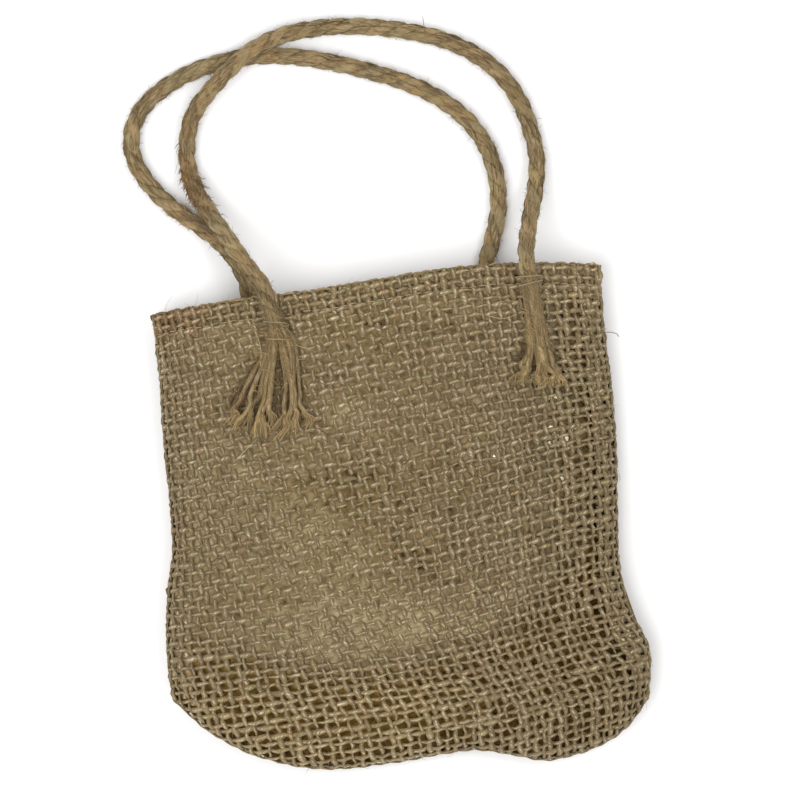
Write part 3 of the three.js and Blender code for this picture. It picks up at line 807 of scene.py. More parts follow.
# Marks on the film's front, each along a line: both ends, reach, milkiness and painted glints.
# Above zero the milkiness draws the film paler, part haze and part painted light; below zero the film stands
# off from the cloth and is drawn darker, as painted shade.
film_marks = [
    (-65.0, 2.0, -64.0, 20.0, 10.0, 0.5, 0.0), (-25.0, -30.0, 12.0, -31.0, 10.0, 0.55, 0.0),
    (-33.0, -2.0, -25.0, 0.0, 6.0, 0.6, 0.1), (-49.0, 20.7, -48.0, 21.5, 2.2, 1.0, 0.4),
    (-13.5, 37.0, -11.0, 38.0, 3.2, 0.8, 0.0), (49.5, -19.7, 21.2, -37.3, 2.4, 0.9, 0.2),
    (51.9, 27.6, 63.5, 26.6, 1.3, 0.4, 1.15), (51.6, 24.8, 62.2, 23.8, 1.2, 0.4, 1.1),
    (52.7, 22.3, 59.0, 21.8, 1.3, 0.4, 1.15), (52.5, 36.0, 56.0, 37.5, 2.2, 0.5, 0.9),
    (-26.5, -40.5, -25.0, -39.5, 1.6, 0.6, 0.8), (-14.8, -4.5, -14.0, -3.7, 1.4, 0.6, 0.8),
    (-23.6, 48.0, -22.8, 49.0, 1.3, 0.6, 0.7), (57.0, 60.7, 57.5, 61.7, 1.2, 0.4, 0.9),
    (63.2, 46.3, 63.8, 48.5, 1.3, 0.4, 0.8), (46.0, 8.0, 50.0, 2.0, 4.0, 0.5, 0.1),
    (38.0, -22.0, 30.0, -27.0, 5.0, 0.5, 0.0), (10.0, 5.0, 16.0, 0.0, 5.0, 0.35, 0.0),
    (44.0, 18.5, 46.5, 17.0, 1.6, 0.5, 1.0), (33.5, 19.0, 36.0, 22.0, 1.4, 0.5, 0.9),
    (54.0, 11.5, 56.5, 9.8, 1.8, 0.4, 1.0), (59.0, 3.0, 60.0, 2.4, 1.4, 0.4, 1.0),
    (1.5, -8.0, 9.0, -15.0, 4.0, -0.5, 0.0), (-8.0, 12.0, 14.0, -12.0, 15.0, -0.45, 0.0),
    (-52.0, 44.0, -46.0, 52.0, 6.0, -0.5, 0.0), (20.0, 20.0, 34.0, 14.0, 7.0, -0.5, 0.0),
    (-20.0, 14.0, -8.0, 20.0, 6.0, -0.4, 0.0), (60.0, 64.0, 62.0, 50.0, 5.0, -0.4, 0.0),
    (-12.0, 66.0, 6.0, 68.0, 6.0, -0.4, 0.0), (-10.0, 56.0, 25.0, 58.0, 10.0, -0.25, 0.0),
]


def soft_noise(random, x, y, scale):
    grid = random.normal(0.0, 1.0, (64, 64))
    u = x / scale + 200.0
    v = y / scale + 200.0
    i = np.floor(u).astype(int)
    j = np.floor(v).astype(int)
    s = ease(u - i)
    t = ease(v - j)
    near = grid[i % 64, j % 64] * (1 - t) + grid[i % 64, (j + 1) % 64] * t
    far = grid[(i + 1) % 64, j % 64] * (1 - t) + grid[(i + 1) % 64, (j + 1) % 64] * t
    return near * (1 - s) + far * s


# Crumples: sharp ridges where the folded noise meets zero
def crumple(random, x, y):
    large = np.abs(soft_noise(random, x + 0.4 * y, y, 17.0))
    middle = np.abs(soft_noise(random, x, y - 0.3 * x, 8.0))
    small = np.abs(soft_noise(random, x, y, 3.5))
    return large + 0.5 * middle + 0.25 * small


def film_points(front, count_across, count_down):
    shares = np.linspace(0.0, 1.0, count_across), np.linspace(0.0, 1.0, count_down)
    across, own = np.meshgrid(*shares, indexing="ij")
    if front:
        reach = curve_through(film_reach_across, film_reach_down, across)
        depth, edge, inset = film_shave, film_edge, film_side
    else:
        reach = 1.0 - back_film_inset / bag_length
        depth, edge, inset = back_film_depth, back_film_depth, (back_film_inset, back_film_inset)
    points = pillow_point(across, own, front, depth, edge, inset, film_top / bag_length, reach)
    depth = 0.14 * crumple(film_random, points[..., 0] / MM, points[..., 1] / MM) * MM
    depth = np.minimum(depth, 0.6 * MM) * np.sin(math.pi * np.clip(across, 0.02, 0.98)) ** 0.5
    points[..., 2] += depth * (-1 if front else 1)
    return points


# How milky, how shaded and how glinting the film is painted at places in plan
def marked_film(points):
    x = points[:, 0] / MM
    y = points[:, 1] / MM
    milk_and_shade = np.zeros(len(points))
    painted_glint = np.zeros(len(points))
    for x0, y0, x1, y1, reach, milk_and_shade_amount, painted_glint_strength in film_marks:
        length = math.hypot(x1 - x0, y1 - y0)
        along = np.clip(((x - x0) * (x1 - x0) + (y - y0) * (y1 - y0)) / length ** 2, 0.0, 1.0)
        off = np.hypot(x - x0 - along * (x1 - x0), y - y0 - along * (y1 - y0)) / reach
        milk_and_shade = milk_and_shade + milk_and_shade_amount * np.exp(-off * off)
        painted_glint = np.maximum(painted_glint, painted_glint_strength * np.exp(-off * off))
    return milk_and_shade, painted_glint


def film_mesh(name, count_across, count_down):
    places = []
    faces = []
    for front in (True, False):
        first = len(places) * count_across * count_down
        places.append(film_points(front, count_across, count_down).reshape(-1, 3))
        here = np.arange(count_across * count_down).reshape(count_across, count_down)
        quads = np.stack([here[:-1, :-1], here[:-1, 1:], here[1:, 1:], here[1:, :-1]], axis=-1)
        quads = quads.reshape(-1, 4)
        faces.append((quads if front else quads[:, ::-1]) + first)
    # The seal between the two sheets, down the left side, along the base and up the right side
    rim = np.concatenate([here[0], here[1:, -1], here[-1, -2::-1]])
    back_rim = rim + count_across * count_down
    faces.append(np.stack([rim[:-1], back_rim[:-1], back_rim[1:], rim[1:]], axis=-1))
    mesh = bpy.data.meshes.new(name)
    mesh.from_pydata(np.concatenate(places).tolist(), [], np.concatenate(faces).tolist())
    mesh.polygons.foreach_set("use_smooth", np.ones(len(mesh.polygons), dtype=bool))
    milk_and_shade, painted_glint = marked_film(places[0])
    own = np.tile(np.linspace(0.0, 1.0, count_down), count_across)
    across = np.repeat(np.linspace(0.0, 1.0, count_across), count_down)
    at_right = film_right_shade * smoothstep(across, *film_right_turn)
    turned_down = np.maximum(smoothstep(own, *film_base_turn), at_right)
    shaded = np.clip(np.maximum(turned_down, -0.4 * milk_and_shade), 0.0, 1.0)
    back_painted_shade = np.full(len(milk_and_shade), back_film_painted_shade)
    back_painted_glint = np.zeros(len(milk_and_shade))
    back_shaded = np.zeros(len(milk_and_shade))
    back_shaded[rim] = np.where(across[rim] < 0.95, film_rim_shade, film_right_shade)
    for attribute, front_values, back_values in (
        ("milk_and_shade", milk_and_shade, back_painted_shade), ("painted_glint", painted_glint, back_painted_glint), ("shaded", shaded, back_shaded),
    ):
        layer = mesh.attributes.new(attribute, "FLOAT", "POINT")
        values = np.concatenate([front_values, back_values])
        layer.data.foreach_set("value", values.astype(np.float32))
    mesh.update()
    piece = bpy.data.objects.new(name, mesh)
    bpy.context.scene.collection.objects.link(piece)
    return piece


film = film_mesh("film_bag", 120, 110)
# The clear film is drawn nearly opaque in a dark jute tone: painted shade, for the dim inside of the bag seen
# through it
film_material = bpy.data.materials.new("clear film")
film_material.use_nodes = True
film_tree = film_material.node_tree
film_shader = film_tree.nodes["Principled BSDF"]
film_place = add_node(film_tree, "ShaderNodeTexCoord").outputs["Object"]
haze = add_noise(film_tree, "3D", {"Vector": film_place, "Scale": 90.0, "Detail": 4.0})
haze_inputs = {"Value": haze, "From Min": 0.3, "From Max": 0.7, "To Min": 0.9, "To Max": 1.0}
haze = add_node(film_tree, "ShaderNodeMapRange", haze_inputs).outputs["Result"]
glitter = add_noise(film_tree, "3D", {"Vector": film_place, "Scale": 1000.0, "Detail": 1.0})
mottle = add_noise(film_tree, "3D", {"Vector": film_place, "Scale": 420.0, "Detail": 3.0})
milk_and_shade_mark = add_node(film_tree, "ShaderNodeAttribute", attribute_name="milk_and_shade").outputs["Fac"]
painted_glint_mark = add_node(film_tree, "ShaderNodeAttribute", attribute_name="painted_glint").outputs["Fac"]
milky_haze_and_light = add_math(film_tree, "MULTIPLY", milk_and_shade_mark, haze, clamp=True)
# Painted shade: the film is drawn darker where its marks are below zero, and in random dark dots for small
# shadows
film_shade = add_math(film_tree, "MINIMUM", milk_and_shade_mark, 0.0)
film_shade = add_math(film_tree, "MULTIPLY_ADD", film_shade, 0.6, -0.4)
film_shade = add_math(film_tree, "MULTIPLY_ADD", mottle, 2.8, film_shade)
# Painted glints: pale spots along the marked lines of the film
painted_glint_line = add_math(film_tree, "MULTIPLY", painted_glint_mark, glitter)
painted_glint_line = add_math(film_tree, "MULTIPLY_ADD", painted_glint_line, 12.0, -4.95, clamp=True)
# Milky patches drawn paler: part haze, part painted light
film_color = add_mix(film_tree, "MIX", milky_haze_and_light, (0.158, 0.118, 0.061), (0.305, 0.25, 0.152))
film_color = add_mix(film_tree, "MULTIPLY", 1.0, film_color, film_shade)
# Painted shade: the film is drawn browner and darker where it is marked shaded
shaded_mark = add_node(film_tree, "ShaderNodeAttribute", attribute_name="shaded").outputs["Fac"]
film_color = add_mix(film_tree, "MULTIPLY", shaded_mark, film_color, (1.4, 1.08, 0.5))
# Painted shade: the darker dots of the mottle are drawn browner
painted_mottle_shade = add_math(film_tree, "MULTIPLY_ADD", mottle, -3.0, 2.0, clamp=True)
film_color = add_mix(film_tree, "MULTIPLY", painted_mottle_shade, film_color, (1.05, 0.97, 0.74))
film_color = add_mix(film_tree, "MIX", painted_glint_line, film_color, (0.88, 0.8, 0.62))
# The painted glints also glow, though no lamp is there
glint = add_mix(film_tree, "MIX", painted_glint_line, (0.0, 0.0, 0.0), (0.34, 0.3, 0.2))
set_inputs(film_tree, film_shader, {
    "Base Color": film_color,
    "Alpha": haze,
    "Emission Color": glint,
    "Emission Strength": 1.0,
    "Roughness": 0.3,
    "Specular IOR Level": 0.08,
})
film.data.materials.append(film_material)
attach(film, "root")
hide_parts("lining_film")


# Rope handles
# Two lengths of three-strand jute rope with a left-hand lay, one sewn to each hem.
# Each strand is a ridged tube wound round the handle's line, which lies on the ground past the bag.
rope_lay = 19.0 * MM
strand_radius = 1.76 * MM
strand_offset = 1.02 * MM
strand_twist = -81.0
rope_step = 0.75 * MM
rope_random = np.random.default_rng(33)
front_route = [
    (-34.4, 69.9, 22.4), (-35.2, 75.0, 22.3), (-36.3, 79.8, 22.2), (-39.0, 85.1, 20.8), (-42.7, 90.5, 18.7),
    (-48.8, 101.1, 13.2), (-54.8, 111.7, 7.6), (-58.7, 121.9, 3.7), (-59.3, 130.0, 3.1), (-56.2, 141.6, 4.4),
    (-48.1, 150.9, 7.6), (-40.3, 157.6, 9.2), (-33.0, 162.2, 8.9), (-24.0, 165.7, 6.4), (-11.3, 167.2, 3.7),
    (2.2, 166.6, 3.0), (17.0, 163.8, 3.0), (29.7, 159.6, 3.0), (40.1, 153.6, 3.0), (47.8, 146.1, 3.0),
    (52.9, 137.3, 3.0), (55.9, 127.0, 3.2), (57.0, 116.8, 4.2), (55.4, 107.0, 7.2), (52.7, 97.2, 12.8),
    (50.7, 88.5, 18.4), (50.3, 82.3, 21.1), (50.6, 75.2, 21.4),
]
back_route = [
    (-42.6, 71.0, 3.0), (-42.7, 78.5, 3.0), (-43.4, 85.5, 3.0), (-46.6, 93.0, 3.0), (-51.5, 99.5, 3.0),
    (-58.2, 105.5, 3.0), (-65.2, 111.4, 3.0), (-72.4, 119.6, 3.0), (-77.1, 129.2, 3.0), (-76.9, 138.5, 3.0),
    (-71.5, 147.0, 3.0), (-61.8, 153.5, 3.0), (-49.8, 157.9, 3.0), (-37.0, 159.7, 3.0), (-23.0, 158.8, 3.0),
    (-8.8, 155.6, 3.0), (5.1, 150.9, 3.0), (17.7, 145.6, 3.0), (28.2, 138.9, 3.0), (36.1, 130.9, 3.0),
    (40.9, 122.1, 3.0), (43.1, 111.5, 3.0), (42.7, 101.4, 3.0), (40.1, 92.4, 3.0), (37.0, 83.5, 3.0),
    (35.4, 75.0, 3.0),
]


# A smooth curve through a route's points, as evenly spaced places
def smooth_line(points, step):
    points = np.asarray(points, float)
    padded = np.concatenate([[2 * points[0] - points[1]], points, [2 * points[-1] - points[-2]]])
    gaps = np.linalg.norm(np.diff(padded, axis=0), axis=1) ** 0.5
    t = np.linspace(0.0, 1.0, 40, endpoint=False)[:, None]
    found = []
    for i in range(len(points) - 1):
        before, start, end, after = padded[i:i + 4]
        d0, d1, d2 = gaps[i:i + 3]
        leave = d1 * ((start - before) / d0 - (end - before) / (d0 + d1) + (end - start) / d1)
        arrive = d1 * ((end - start) / d1 - (after - start) / (d1 + d2) + (after - end) / d2)
        bend = 2 * start - 2 * end + leave + arrive
        lean = -3 * start + 3 * end - 2 * leave - arrive
        found.append(start + leave * t + lean * t ** 2 + bend * t ** 3)
    line = np.concatenate(found + [points[-1:]])
    runs = run_lengths(line)
    places = np.linspace(0.0, runs[-1], max(2, round(runs[-1] / step)) + 1)
    return np.stack([np.interp(places, runs, line[:, k]) for k in range(3)], axis=-1)


# Directions square to a line that turn with it and don't twist
def carried_normals(line, first):
    along = unit(np.gradient(line, axis=0))
    normals = np.empty_like(line)
    normal = np.asarray(first, float)
    for i in range(len(line)):
        normal = normal - along[i] * np.dot(normal, along[i])
        normal = normal / np.linalg.norm(normal)
        normals[i] = normal
    return normals, np.cross(along, normals)


stain_loss = np.array([0.14, 0.26, 0.34])


# A length of rope that is browner than the rest, round a place in plan
def rope_stain(centres, stain):
    x, y, reach, strength = stain
    off = np.hypot(centres[:, 0] / MM - x, centres[:, 1] / MM - y) / reach
    return 1.0 - strength * np.exp(-off * off)[:, None] * stain_loss


def laid_rope(name, route, stain):
    line = smooth_line(np.asarray(route) * MM, rope_step)
    runs = run_lengths(line)
    up, side = carried_normals(line, (0.0, 0.0, 1.0))
    strands = []
    sides = 14
    around = np.linspace(0.0, 2 * math.pi, sides, endpoint=False)
    taper = 0.4 + 0.6 * smoothstep(np.minimum(runs, runs[-1] - runs), 0.0, 6.0 * MM)
    for strand in range(3):
        wander = uneven(rope_random, len(line), 14, 0.10)
        turn = -2 * math.pi * runs / rope_lay + 2 * math.pi * strand / 3 + wander
        out = up * np.cos(turn)[:, None] + side * np.sin(turn)[:, None]
        offset = strand_offset * taper * (1 + uneven(rope_random, len(line), 9, 0.05))
        centres = line + out * offset[:, None]
        swell = taper * (1 + uneven(rope_random, len(line), 10, 0.06))
        twist = 2 * math.pi * runs * strand_twist
        ridges = 1 + 0.045 * np.cos(4 * (around[None, :] + twist[:, None]))
        ridges = ridges + 0.03 * np.cos(6 * (around[None, :] + twist[:, None]) + strand)
        yarn = plain_yarn(rope_random, centres, out, strand_radius * swell, strand_radius * swell)
        yarn["relief"] = ridges + rope_random.normal(0.0, 0.02, ridges.shape)
        redness = uneven(rope_random, len(line), 7, 1.0)[:, None]
        yarn["tint"] = rope_stain(centres, stain) * (1 + redness * np.array([0.035, -0.025, -0.07]))
        strands.append(yarn)
    return yarn_mesh(name, strands, sides), line


rope_material = jute_material(
    "rope jute", pale=(0.325, 0.238, 0.117), dark=(0.104, 0.066, 0.028), twist=strand_twist, fineness=4.2,
    bump_depth=0.5 * MM, crest_highlight=0.1, groove_shade=0.72, sheen=0.45,
)
front_stain = (-58.5, 130.0, 15.0, 0.42)
back_stain = (-77.0, 133.0, 10.0, 0.4)
rope_front, front_line = laid_rope("handle_front", front_route, front_stain)
rope_back, back_line = laid_rope("handle_back", back_route, back_stain)


# Single fibres that lie on a rope, nearly along it, from strand to strand
def rope_fibres(random, line, count, stain):
    fibres = []
    up, side = carried_normals(line, (0.0, 0.0, 1.0))
    runs = run_lengths(line)
    for _ in range(count):
        first = random.integers(0, len(line) - 20)
        places = np.arange(first, first + random.integers(7, 19), 2)
        turn = random.uniform(0.0, 2 * math.pi) + random.normal(0.0, 60.0) * (runs[places] - runs[first])
        off_strand = turn + 2 * math.pi * runs[places] / rope_lay + math.pi / 3
        off_strand = off_strand % (2 * math.pi / 3) - math.pi / 3
        reach = strand_offset * np.cos(off_strand)
        reach = reach + np.sqrt(strand_radius ** 2 - (strand_offset * np.sin(off_strand)) ** 2)
        reach = reach + random.uniform(-0.02, 0.12) * MM
        away = up[places] * np.cos(turn)[:, None] + side[places] * np.sin(turn)[:, None]
        centres = line[places] + away * reach[:, None]
        fibre_line = even_yarn(random, centres, away, random.uniform(0.08, 0.17) * MM)
        shade = random.uniform(0.6, 1.9)
        bark = random.uniform() < 0.22
        fibre_line["tint"] = rope_stain(centres, stain) * (np.array([0.5, 0.34, 0.22]) if bark else shade)
        fibres.append(fibre_line)
    return fibres


tuft_tint = np.array([1.5, 0.98, 0.58])
rope_hair_tint = (1.5, 1.5, 1.4)


# Hairs on a rope, most of them nearly along it, longer and browner in a tuft at a spliced yarn
def rope_hairs(random, line, count, tuft_place, tuft_count):
    hairs = []
    up, side = carried_normals(line, (0.0, 0.0, 1.0))
    for i in range(count + tuft_count):
        tuft = i >= count
        place = random.integers(4, len(line) - 4)
        turn = random.uniform(0.0, 2 * math.pi)
        if tuft:
            place = int(tuft_place + random.normal(0.0, 8.0))
            turn = random.normal(-0.35 * math.pi, 1.1)
        along = unit(line[place + 1] - line[place - 1])
        away = up[place] * math.cos(turn) + side[place] * math.sin(turn)
        start = line[place] + away * 2.35 * MM
        around = np.cross(along, away)
        swing = random.normal(0.0, 0.5)
        heading = along * math.cos(swing) + around * math.sin(swing)
        heading = heading * random.choice([-1.0, 1.0]) + away * random.exponential(0.9)
        length = min(3.6, random.lognormal(0.3, 0.45)) * MM
        radius = 0.085 * MM
        if tuft:
            heading = around * random.normal(0.0, 0.4) - along + away * random.uniform(0.4, 1.8)
            length = random.uniform(1.2, 4.0) * MM
            radius = 0.13 * MM
        strand = hair(random, start, heading, away, length, radius, 3)
        strand["tint"] = tuft_tint * random.uniform(0.4, 1.3) if tuft else rope_hair_tint
        strand["centres"][:, 2] = np.maximum(strand["centres"][:, 2], ground_gap)
        hairs.append(strand)
    return hairs


front_fuzz = rope_hairs(rope_random, front_line, 3600, 76, 420)
front_fuzz += rope_fibres(rope_random, front_line, 1500, front_stain)
front_strays = [
    ((1.9, 2.0, 2.3), [(-55.1, 116.6, 9.2), (-55.6, 113.5, 10.0), (-57.0, 110.7, 8.8)]),
    ((1.9, 2.0, 2.3), [(-58.4, 113.2, 8.8), (-61.0, 112.3, 7.4), (-61.4, 110.2, 6.6), (-57.9, 108.1, 7.6)]),
    ((0.7, 0.6, 0.5), [(23.6, 161.5, 5.6), (23.4, 164.6, 6.4), (23.2, 168.0, 6.2)]),
]
for stray_tint, stray_route in front_strays:
    stray = smooth_line(np.asarray(stray_route) * MM, 0.6 * MM)
    front_fuzz.append(even_yarn(rope_random, stray, straight_up(len(stray)), 0.13 * MM))
    front_fuzz[-1]["tint"] = stray_tint
back_fuzz_hairs = rope_hairs(rope_random, back_line, 3300, 60, 0)
back_fuzz_hairs += rope_fibres(rope_random, back_line, 1400, back_stain)
fuzz_front = yarn_mesh("handle_fuzz_front", front_fuzz, 3)
fuzz_back = yarn_mesh("handle_fuzz_back", back_fuzz_hairs, 3)
for piece, node in (
    (rope_front, "handle_rope_front"),
    (fuzz_front, "handle_rope_front"),
    (rope_back, "handle_rope_back"),
    (fuzz_back, "handle_rope_back"),
):
    piece.data.materials.append(rope_material)
    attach(piece, "root")
    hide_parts(node)


# Rope ends
# Below its stitches each rope is unlaid into loose yarns, which lie on the cloth in a fan.
# Every lock is a thick wavy yarn with a bushy tip, over thinner fibres drawn dark as painted shade between
# the locks.
tassel_random = np.random.default_rng(52)
# Each lock's tip in plan, how far it lies above the cloth, its lean and its place across the head
front_left_tips = [
    (-51.8, 38.4, 0.2, 0.55, -1.0), (-49.6, 36.2, 1.2, 0.5, -0.85), (-46.8, 35.4, 0.1, 0.45, -0.74),
    (-44.2, 33.2, 1.0, 0.45, -0.6), (-41.4, 32.2, 0.9, 0.5, -0.46), (-39.8, 36.0, 0.3, 0.6, -0.3),
    (-37.2, 33.8, 0.2, 0.2, 0.0), (-34.8, 32.0, 1.2, 0.1, 0.18), (-32.8, 34.6, 0.2, 0.2, 0.36),
    (-30.8, 33.6, 1.1, 0.35, 0.55), (-29.0, 36.8, 0.2, 0.6, 0.75), (-26.8, 34.0, 0.8, 0.7, 1.0),
]
front_right_tips = [
    (42.8, 43.8, 0.9, 0.2, -1.0), (44.2, 42.6, 1.1, 0.2, -0.85), (45.4, 43.6, 0.2, 0.2, -0.7),
    (49.2, 43.6, 0.0, 0.1, -0.4), (51.0, 41.8, 0.8, 0.15, -0.1), (52.6, 41.2, 1.3, 0.15, 0.15),
    (53.8, 42.6, 0.2, 0.2, 0.4), (55.2, 41.2, 1.1, 0.2, 0.6), (56.8, 42.2, 0.2, 0.25, 0.8),
    (58.2, 41.2, 0.8, 0.3, 1.0),
]
back_left_ends = [
    (-52.0, 51.5), (-48.6, 49.0), (-45.4, 50.2), (-42.0, 48.4), (-38.6, 49.8), (-35.4, 48.8), (-32.2, 51.0),
]
back_right_ends = [
    (25.6, 54.5), (29.0, 52.5), (32.4, 53.5), (35.8, 51.8), (39.2, 53.2), (42.6, 52.0), (45.8, 55.0),
]


# Locks pressed flat on the ground, evenly spread across the head
def pressed_tips(ends):
    ranks = np.round(np.linspace(-1.0, 1.0, len(ends)), 2)
    return [(x, y, 0.0, 0.3, rank) for (x, y), rank in zip(ends, ranks)]


# Height of the front panel's outer face at places in plan, all in metres
def panel_height(x, y):
    across = np.full_like(x, 0.5)
    down = np.full_like(x, 0.2)
    for _ in range(12):
        here_x, here_y = plan_point(across, down, (0.0, 0.0))
        across = np.clip(across + (x / MM - here_x) / 150.0, 0.01, 0.99)
        down = np.clip(down - (y / MM - here_y) / bag_length, 0.0, 0.99)
    return pillow_point(across, down, True, 0.0, cloth_thickness, (0.0, 0.0))[..., 2]


def ground_height(x, y):
    return np.zeros_like(x)


# A wavy strand's line from under the rope's stitches, over the head, to a tip on the cloth or ground
def lock_path(random, ordered, tip, head_length, head_width, height_at, gap, wave):
    end = ordered[0]
    axis = unit(ordered[0] - ordered[6])
    right = unit(np.cross((0.0, 0.0, 1.0), axis))
    up = np.cross(axis, right)
    tip_x, tip_y, lift, lean, rank = tip
    outwards = right * math.sin(1.5 * rank) + up * math.cos(1.5 * rank)
    start = ordered[9] + outwards * 1.9 * MM
    neck = end + outwards * 2.0 * MM
    head = end + axis * head_length + right * rank * (0.5 * head_width - 0.7 * MM)
    last = np.array([tip_x * MM, tip_y * MM, 0.0])
    fall = np.dot(last - head, axis)
    swing = np.dot(last - head, right)
    middle = head + axis * 0.5 * fall + right * lean * swing
    path = smooth_line([start, neck, head, middle, last], 1.0 * MM)
    count = len(path)
    share = np.linspace(0.0, 1.0, count)
    loose = smoothstep(share, 0.3, 0.75)
    path = path + right * (uneven(random, count, 8, wave) * loose)[:, None]
    rest = height_at(path[:, 0], path[:, 1]) + gap
    stack = 1.5 * MM * (1 - rank * rank) * (1 - share) + lift * MM * loose
    bounce = np.abs(uneven(random, count, 6, 0.4 * MM)) * loose
    settle = smoothstep(run_lengths(path), 7.0 * MM, 8.0 * MM + head_length)
    path[:, 2] = path[:, 2] * (1 - settle) + (rest + stack + bounce) * settle
    return path, right


# Fibres round a lock's line between two shares of its length, loose by a share of the lock's radius
def lock_fibres(random, path, right, radius, tint, count, begin, splay, wander):
    share = np.linspace(0.0, 1.0, len(path))
    yarns = []
    for _ in range(count):
        first = random.uniform(*begin)
        last = random.uniform(0.88, 1.0) + random.exponential(0.012)
        places = np.linspace(first, last, 11)
        line = np.stack([np.interp(places, share, path[:, k]) for k in range(3)], axis=-1)
        line = line + np.maximum(places - 1.0, 0.0)[:, None] * (path[-1] - path[-4]) * len(path) / 3.0
        turn = random.uniform(0.0, 2 * math.pi) + np.cumsum(random.normal(0.0, wander, len(places)))
        reach = radius * random.uniform(0.7, 1.1) * (1.0 + splay * smoothstep(places, 0.74, 1.02))
        line = line + right * (reach * np.cos(turn))[:, None]
        line[:, 2] += 0.8 * radius * np.sin(turn)
        thickness = np.linspace(1.0, 0.7, len(places)) * random.uniform(0.08, 0.18) * MM
        strand = plain_yarn(random, line, straight_up(len(places)), thickness, thickness)
        strand["tint"] = np.stack([np.interp(places, share, tint[:, k]) for k in range(3)], axis=-1)
        strand["tint"] = strand["tint"] * random.uniform(0.6, 1.5)
        yarns.append(strand)
    return yarns


# A tassel: thick wavy locks with bushy tips over a filling of thin fibres, drawn dark as painted shade
# between the locks
lock_sides = 5
lock_gap = 0.75 * MM
filling_shade_tint = np.array([0.42, 0.34, 0.26])


def tassel(name, line, from_start, tips, head, height_at, fibres, filling, frizz, tip_tint, strays):
    head_length, head_width = head
    ordered = line if from_start else line[::-1]
    yarns = []
    for tip in tips:
        radius = 0.78 * MM * tassel_random.uniform(0.75, 1.2)
        path, right = lock_path(
            tassel_random, ordered, tip, head_length, head_width, height_at, lock_gap, 0.9 * MM
        )
        count = len(path)
        share = np.linspace(0.0, 1.0, count)
        tint = 1.0 + (np.asarray(tip_tint) - 1.0) * smoothstep(share, 0.6, 0.95)[:, None]
        tint = tint * tassel_random.uniform(0.8, 1.1) * (0.8 + 0.2 * smoothstep(share, 0.2, 0.5))[:, None]
        # Painted shade: locks that lie lower, under the others, are drawn darker
        tint = tint * (0.72 + 0.28 * min(tip[2], 1.0))
        around = np.linspace(0.0, 2 * math.pi, lock_sides, endpoint=False)
        turn = 2 * math.pi * run_lengths(path) / (8.0 * MM)
        taper = 1.0 - 0.55 * smoothstep(share, 0.75, 1.0)
        swell = radius * taper * np.clip(1 + uneven(tassel_random, count, 5, 0.15), 0.6, 1.4)
        up = straight_up(count)
        core = plain_yarn(tassel_random, path, up, swell, 0.9 * swell)
        core["relief"] = 1 + 0.14 * np.cos(2 * (around[None, :] + turn[:, None]))
        core["tint"] = tint
        yarns.append(core)
        lock = (tassel_random, path, right, radius, tint)
        yarns += lock_fibres(*lock, fibres, (0.0, 0.45), 0.6, 0.4)
        yarns += lock_fibres(*lock, 3 * fibres, (0.7, 0.85), 2.3, 0.12)
        for _ in range(frizz):
            place = tassel_random.integers(4, int(0.55 * count))
            sideways = right * tassel_random.normal(0.0, 1.0) + up[0] * tassel_random.uniform(0.0, 0.6)
            heading = unit(path[place + 1] - path[place - 1]) * tassel_random.normal(0.0, 0.7) + sideways
            length = tassel_random.uniform(1.5, 4.0) * MM
            curl = hair(tassel_random, path[place] + up[0] * 0.6 * MM, heading, up[0], length, 0.1 * MM, 5)
            curl["tint"] = np.array([1.5, 1.4, 1.1]) * tassel_random.uniform(0.6, 1.2)
            yarns.append(curl)
    for _ in range(filling):
        place = tassel_random.uniform(0.0, len(tips) - 1.001)
        low = int(place)
        tip = np.array(tips[low]) * (1 - place + low) + np.array(tips[low + 1]) * (place - low)
        tip[1] += tassel_random.uniform(0.0, 9.0)
        tip[2] = 0.0
        path, right = lock_path(
            tassel_random, ordered, tip, head_length, head_width, height_at, 0.2 * MM, 1.0 * MM
        )
        tint = np.tile(filling_shade_tint * tassel_random.uniform(0.6, 1.3), (len(path), 1))
        yarns += lock_fibres(tassel_random, path, right, 0.4 * MM, tint, 1, (0.1, 0.4), 0.5, 0.4)
    for route in strays:
        stray = smooth_line(np.asarray(route) * MM, 1.0 * MM)
        stray[:, 2] += height_at(stray[:, 0], stray[:, 1])
        strand = even_yarn(tassel_random, stray, straight_up(len(stray)), 0.1 * MM)
        strand["tint"] = (2.0, 2.15, 2.6)
        yarns.append(strand)
    for yarn in yarns:
        yarn["centres"][:, 2] = np.maximum(yarn["centres"][:, 2], yarn["half_height"] + 0.05 * MM)
    piece = yarn_mesh("loose_" + name, yarns, lock_sides)
    piece.data.materials.append(tassel_material)
    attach(piece, "root")
    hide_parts(name)
    return piece


tassel_material = jute_material(
    "unlaid jute", pale=(0.315, 0.222, 0.103), dark=(0.075, 0.046, 0.019), twist=120.0, fineness=1.6,
    bump_depth=0.25 * MM, crest_highlight=0.35, groove_shade=0.5, sheen=0.33,
)
golden_tip = (1.3, 1.27, 1.2)
left_strays = [
    [(-41.6, 68.6, 0.9), (-40.2, 64.0, 1.6), (-40.0, 60.1, 1.4), (-41.7, 51.8, 0.9)],
    [(-42.3, 33.5, 1.0), (-47.0, 29.8, 1.6), (-51.3, 25.9, 0.9)],
    [(-29.0, 62.5, 1.0), (-24.5, 60.8, 1.6), (-22.0, 61.2, 0.9)],
]
right_strays = [
    [(46.0, 70.2, 0.9), (42.0, 70.8, 1.4), (37.5, 70.0, 0.9)],
    [(45.5, 66.0, 0.9), (41.0, 65.0, 1.4), (36.0, 66.3, 0.9)],
]
plain_tip = (1.05, 1.0, 0.95)
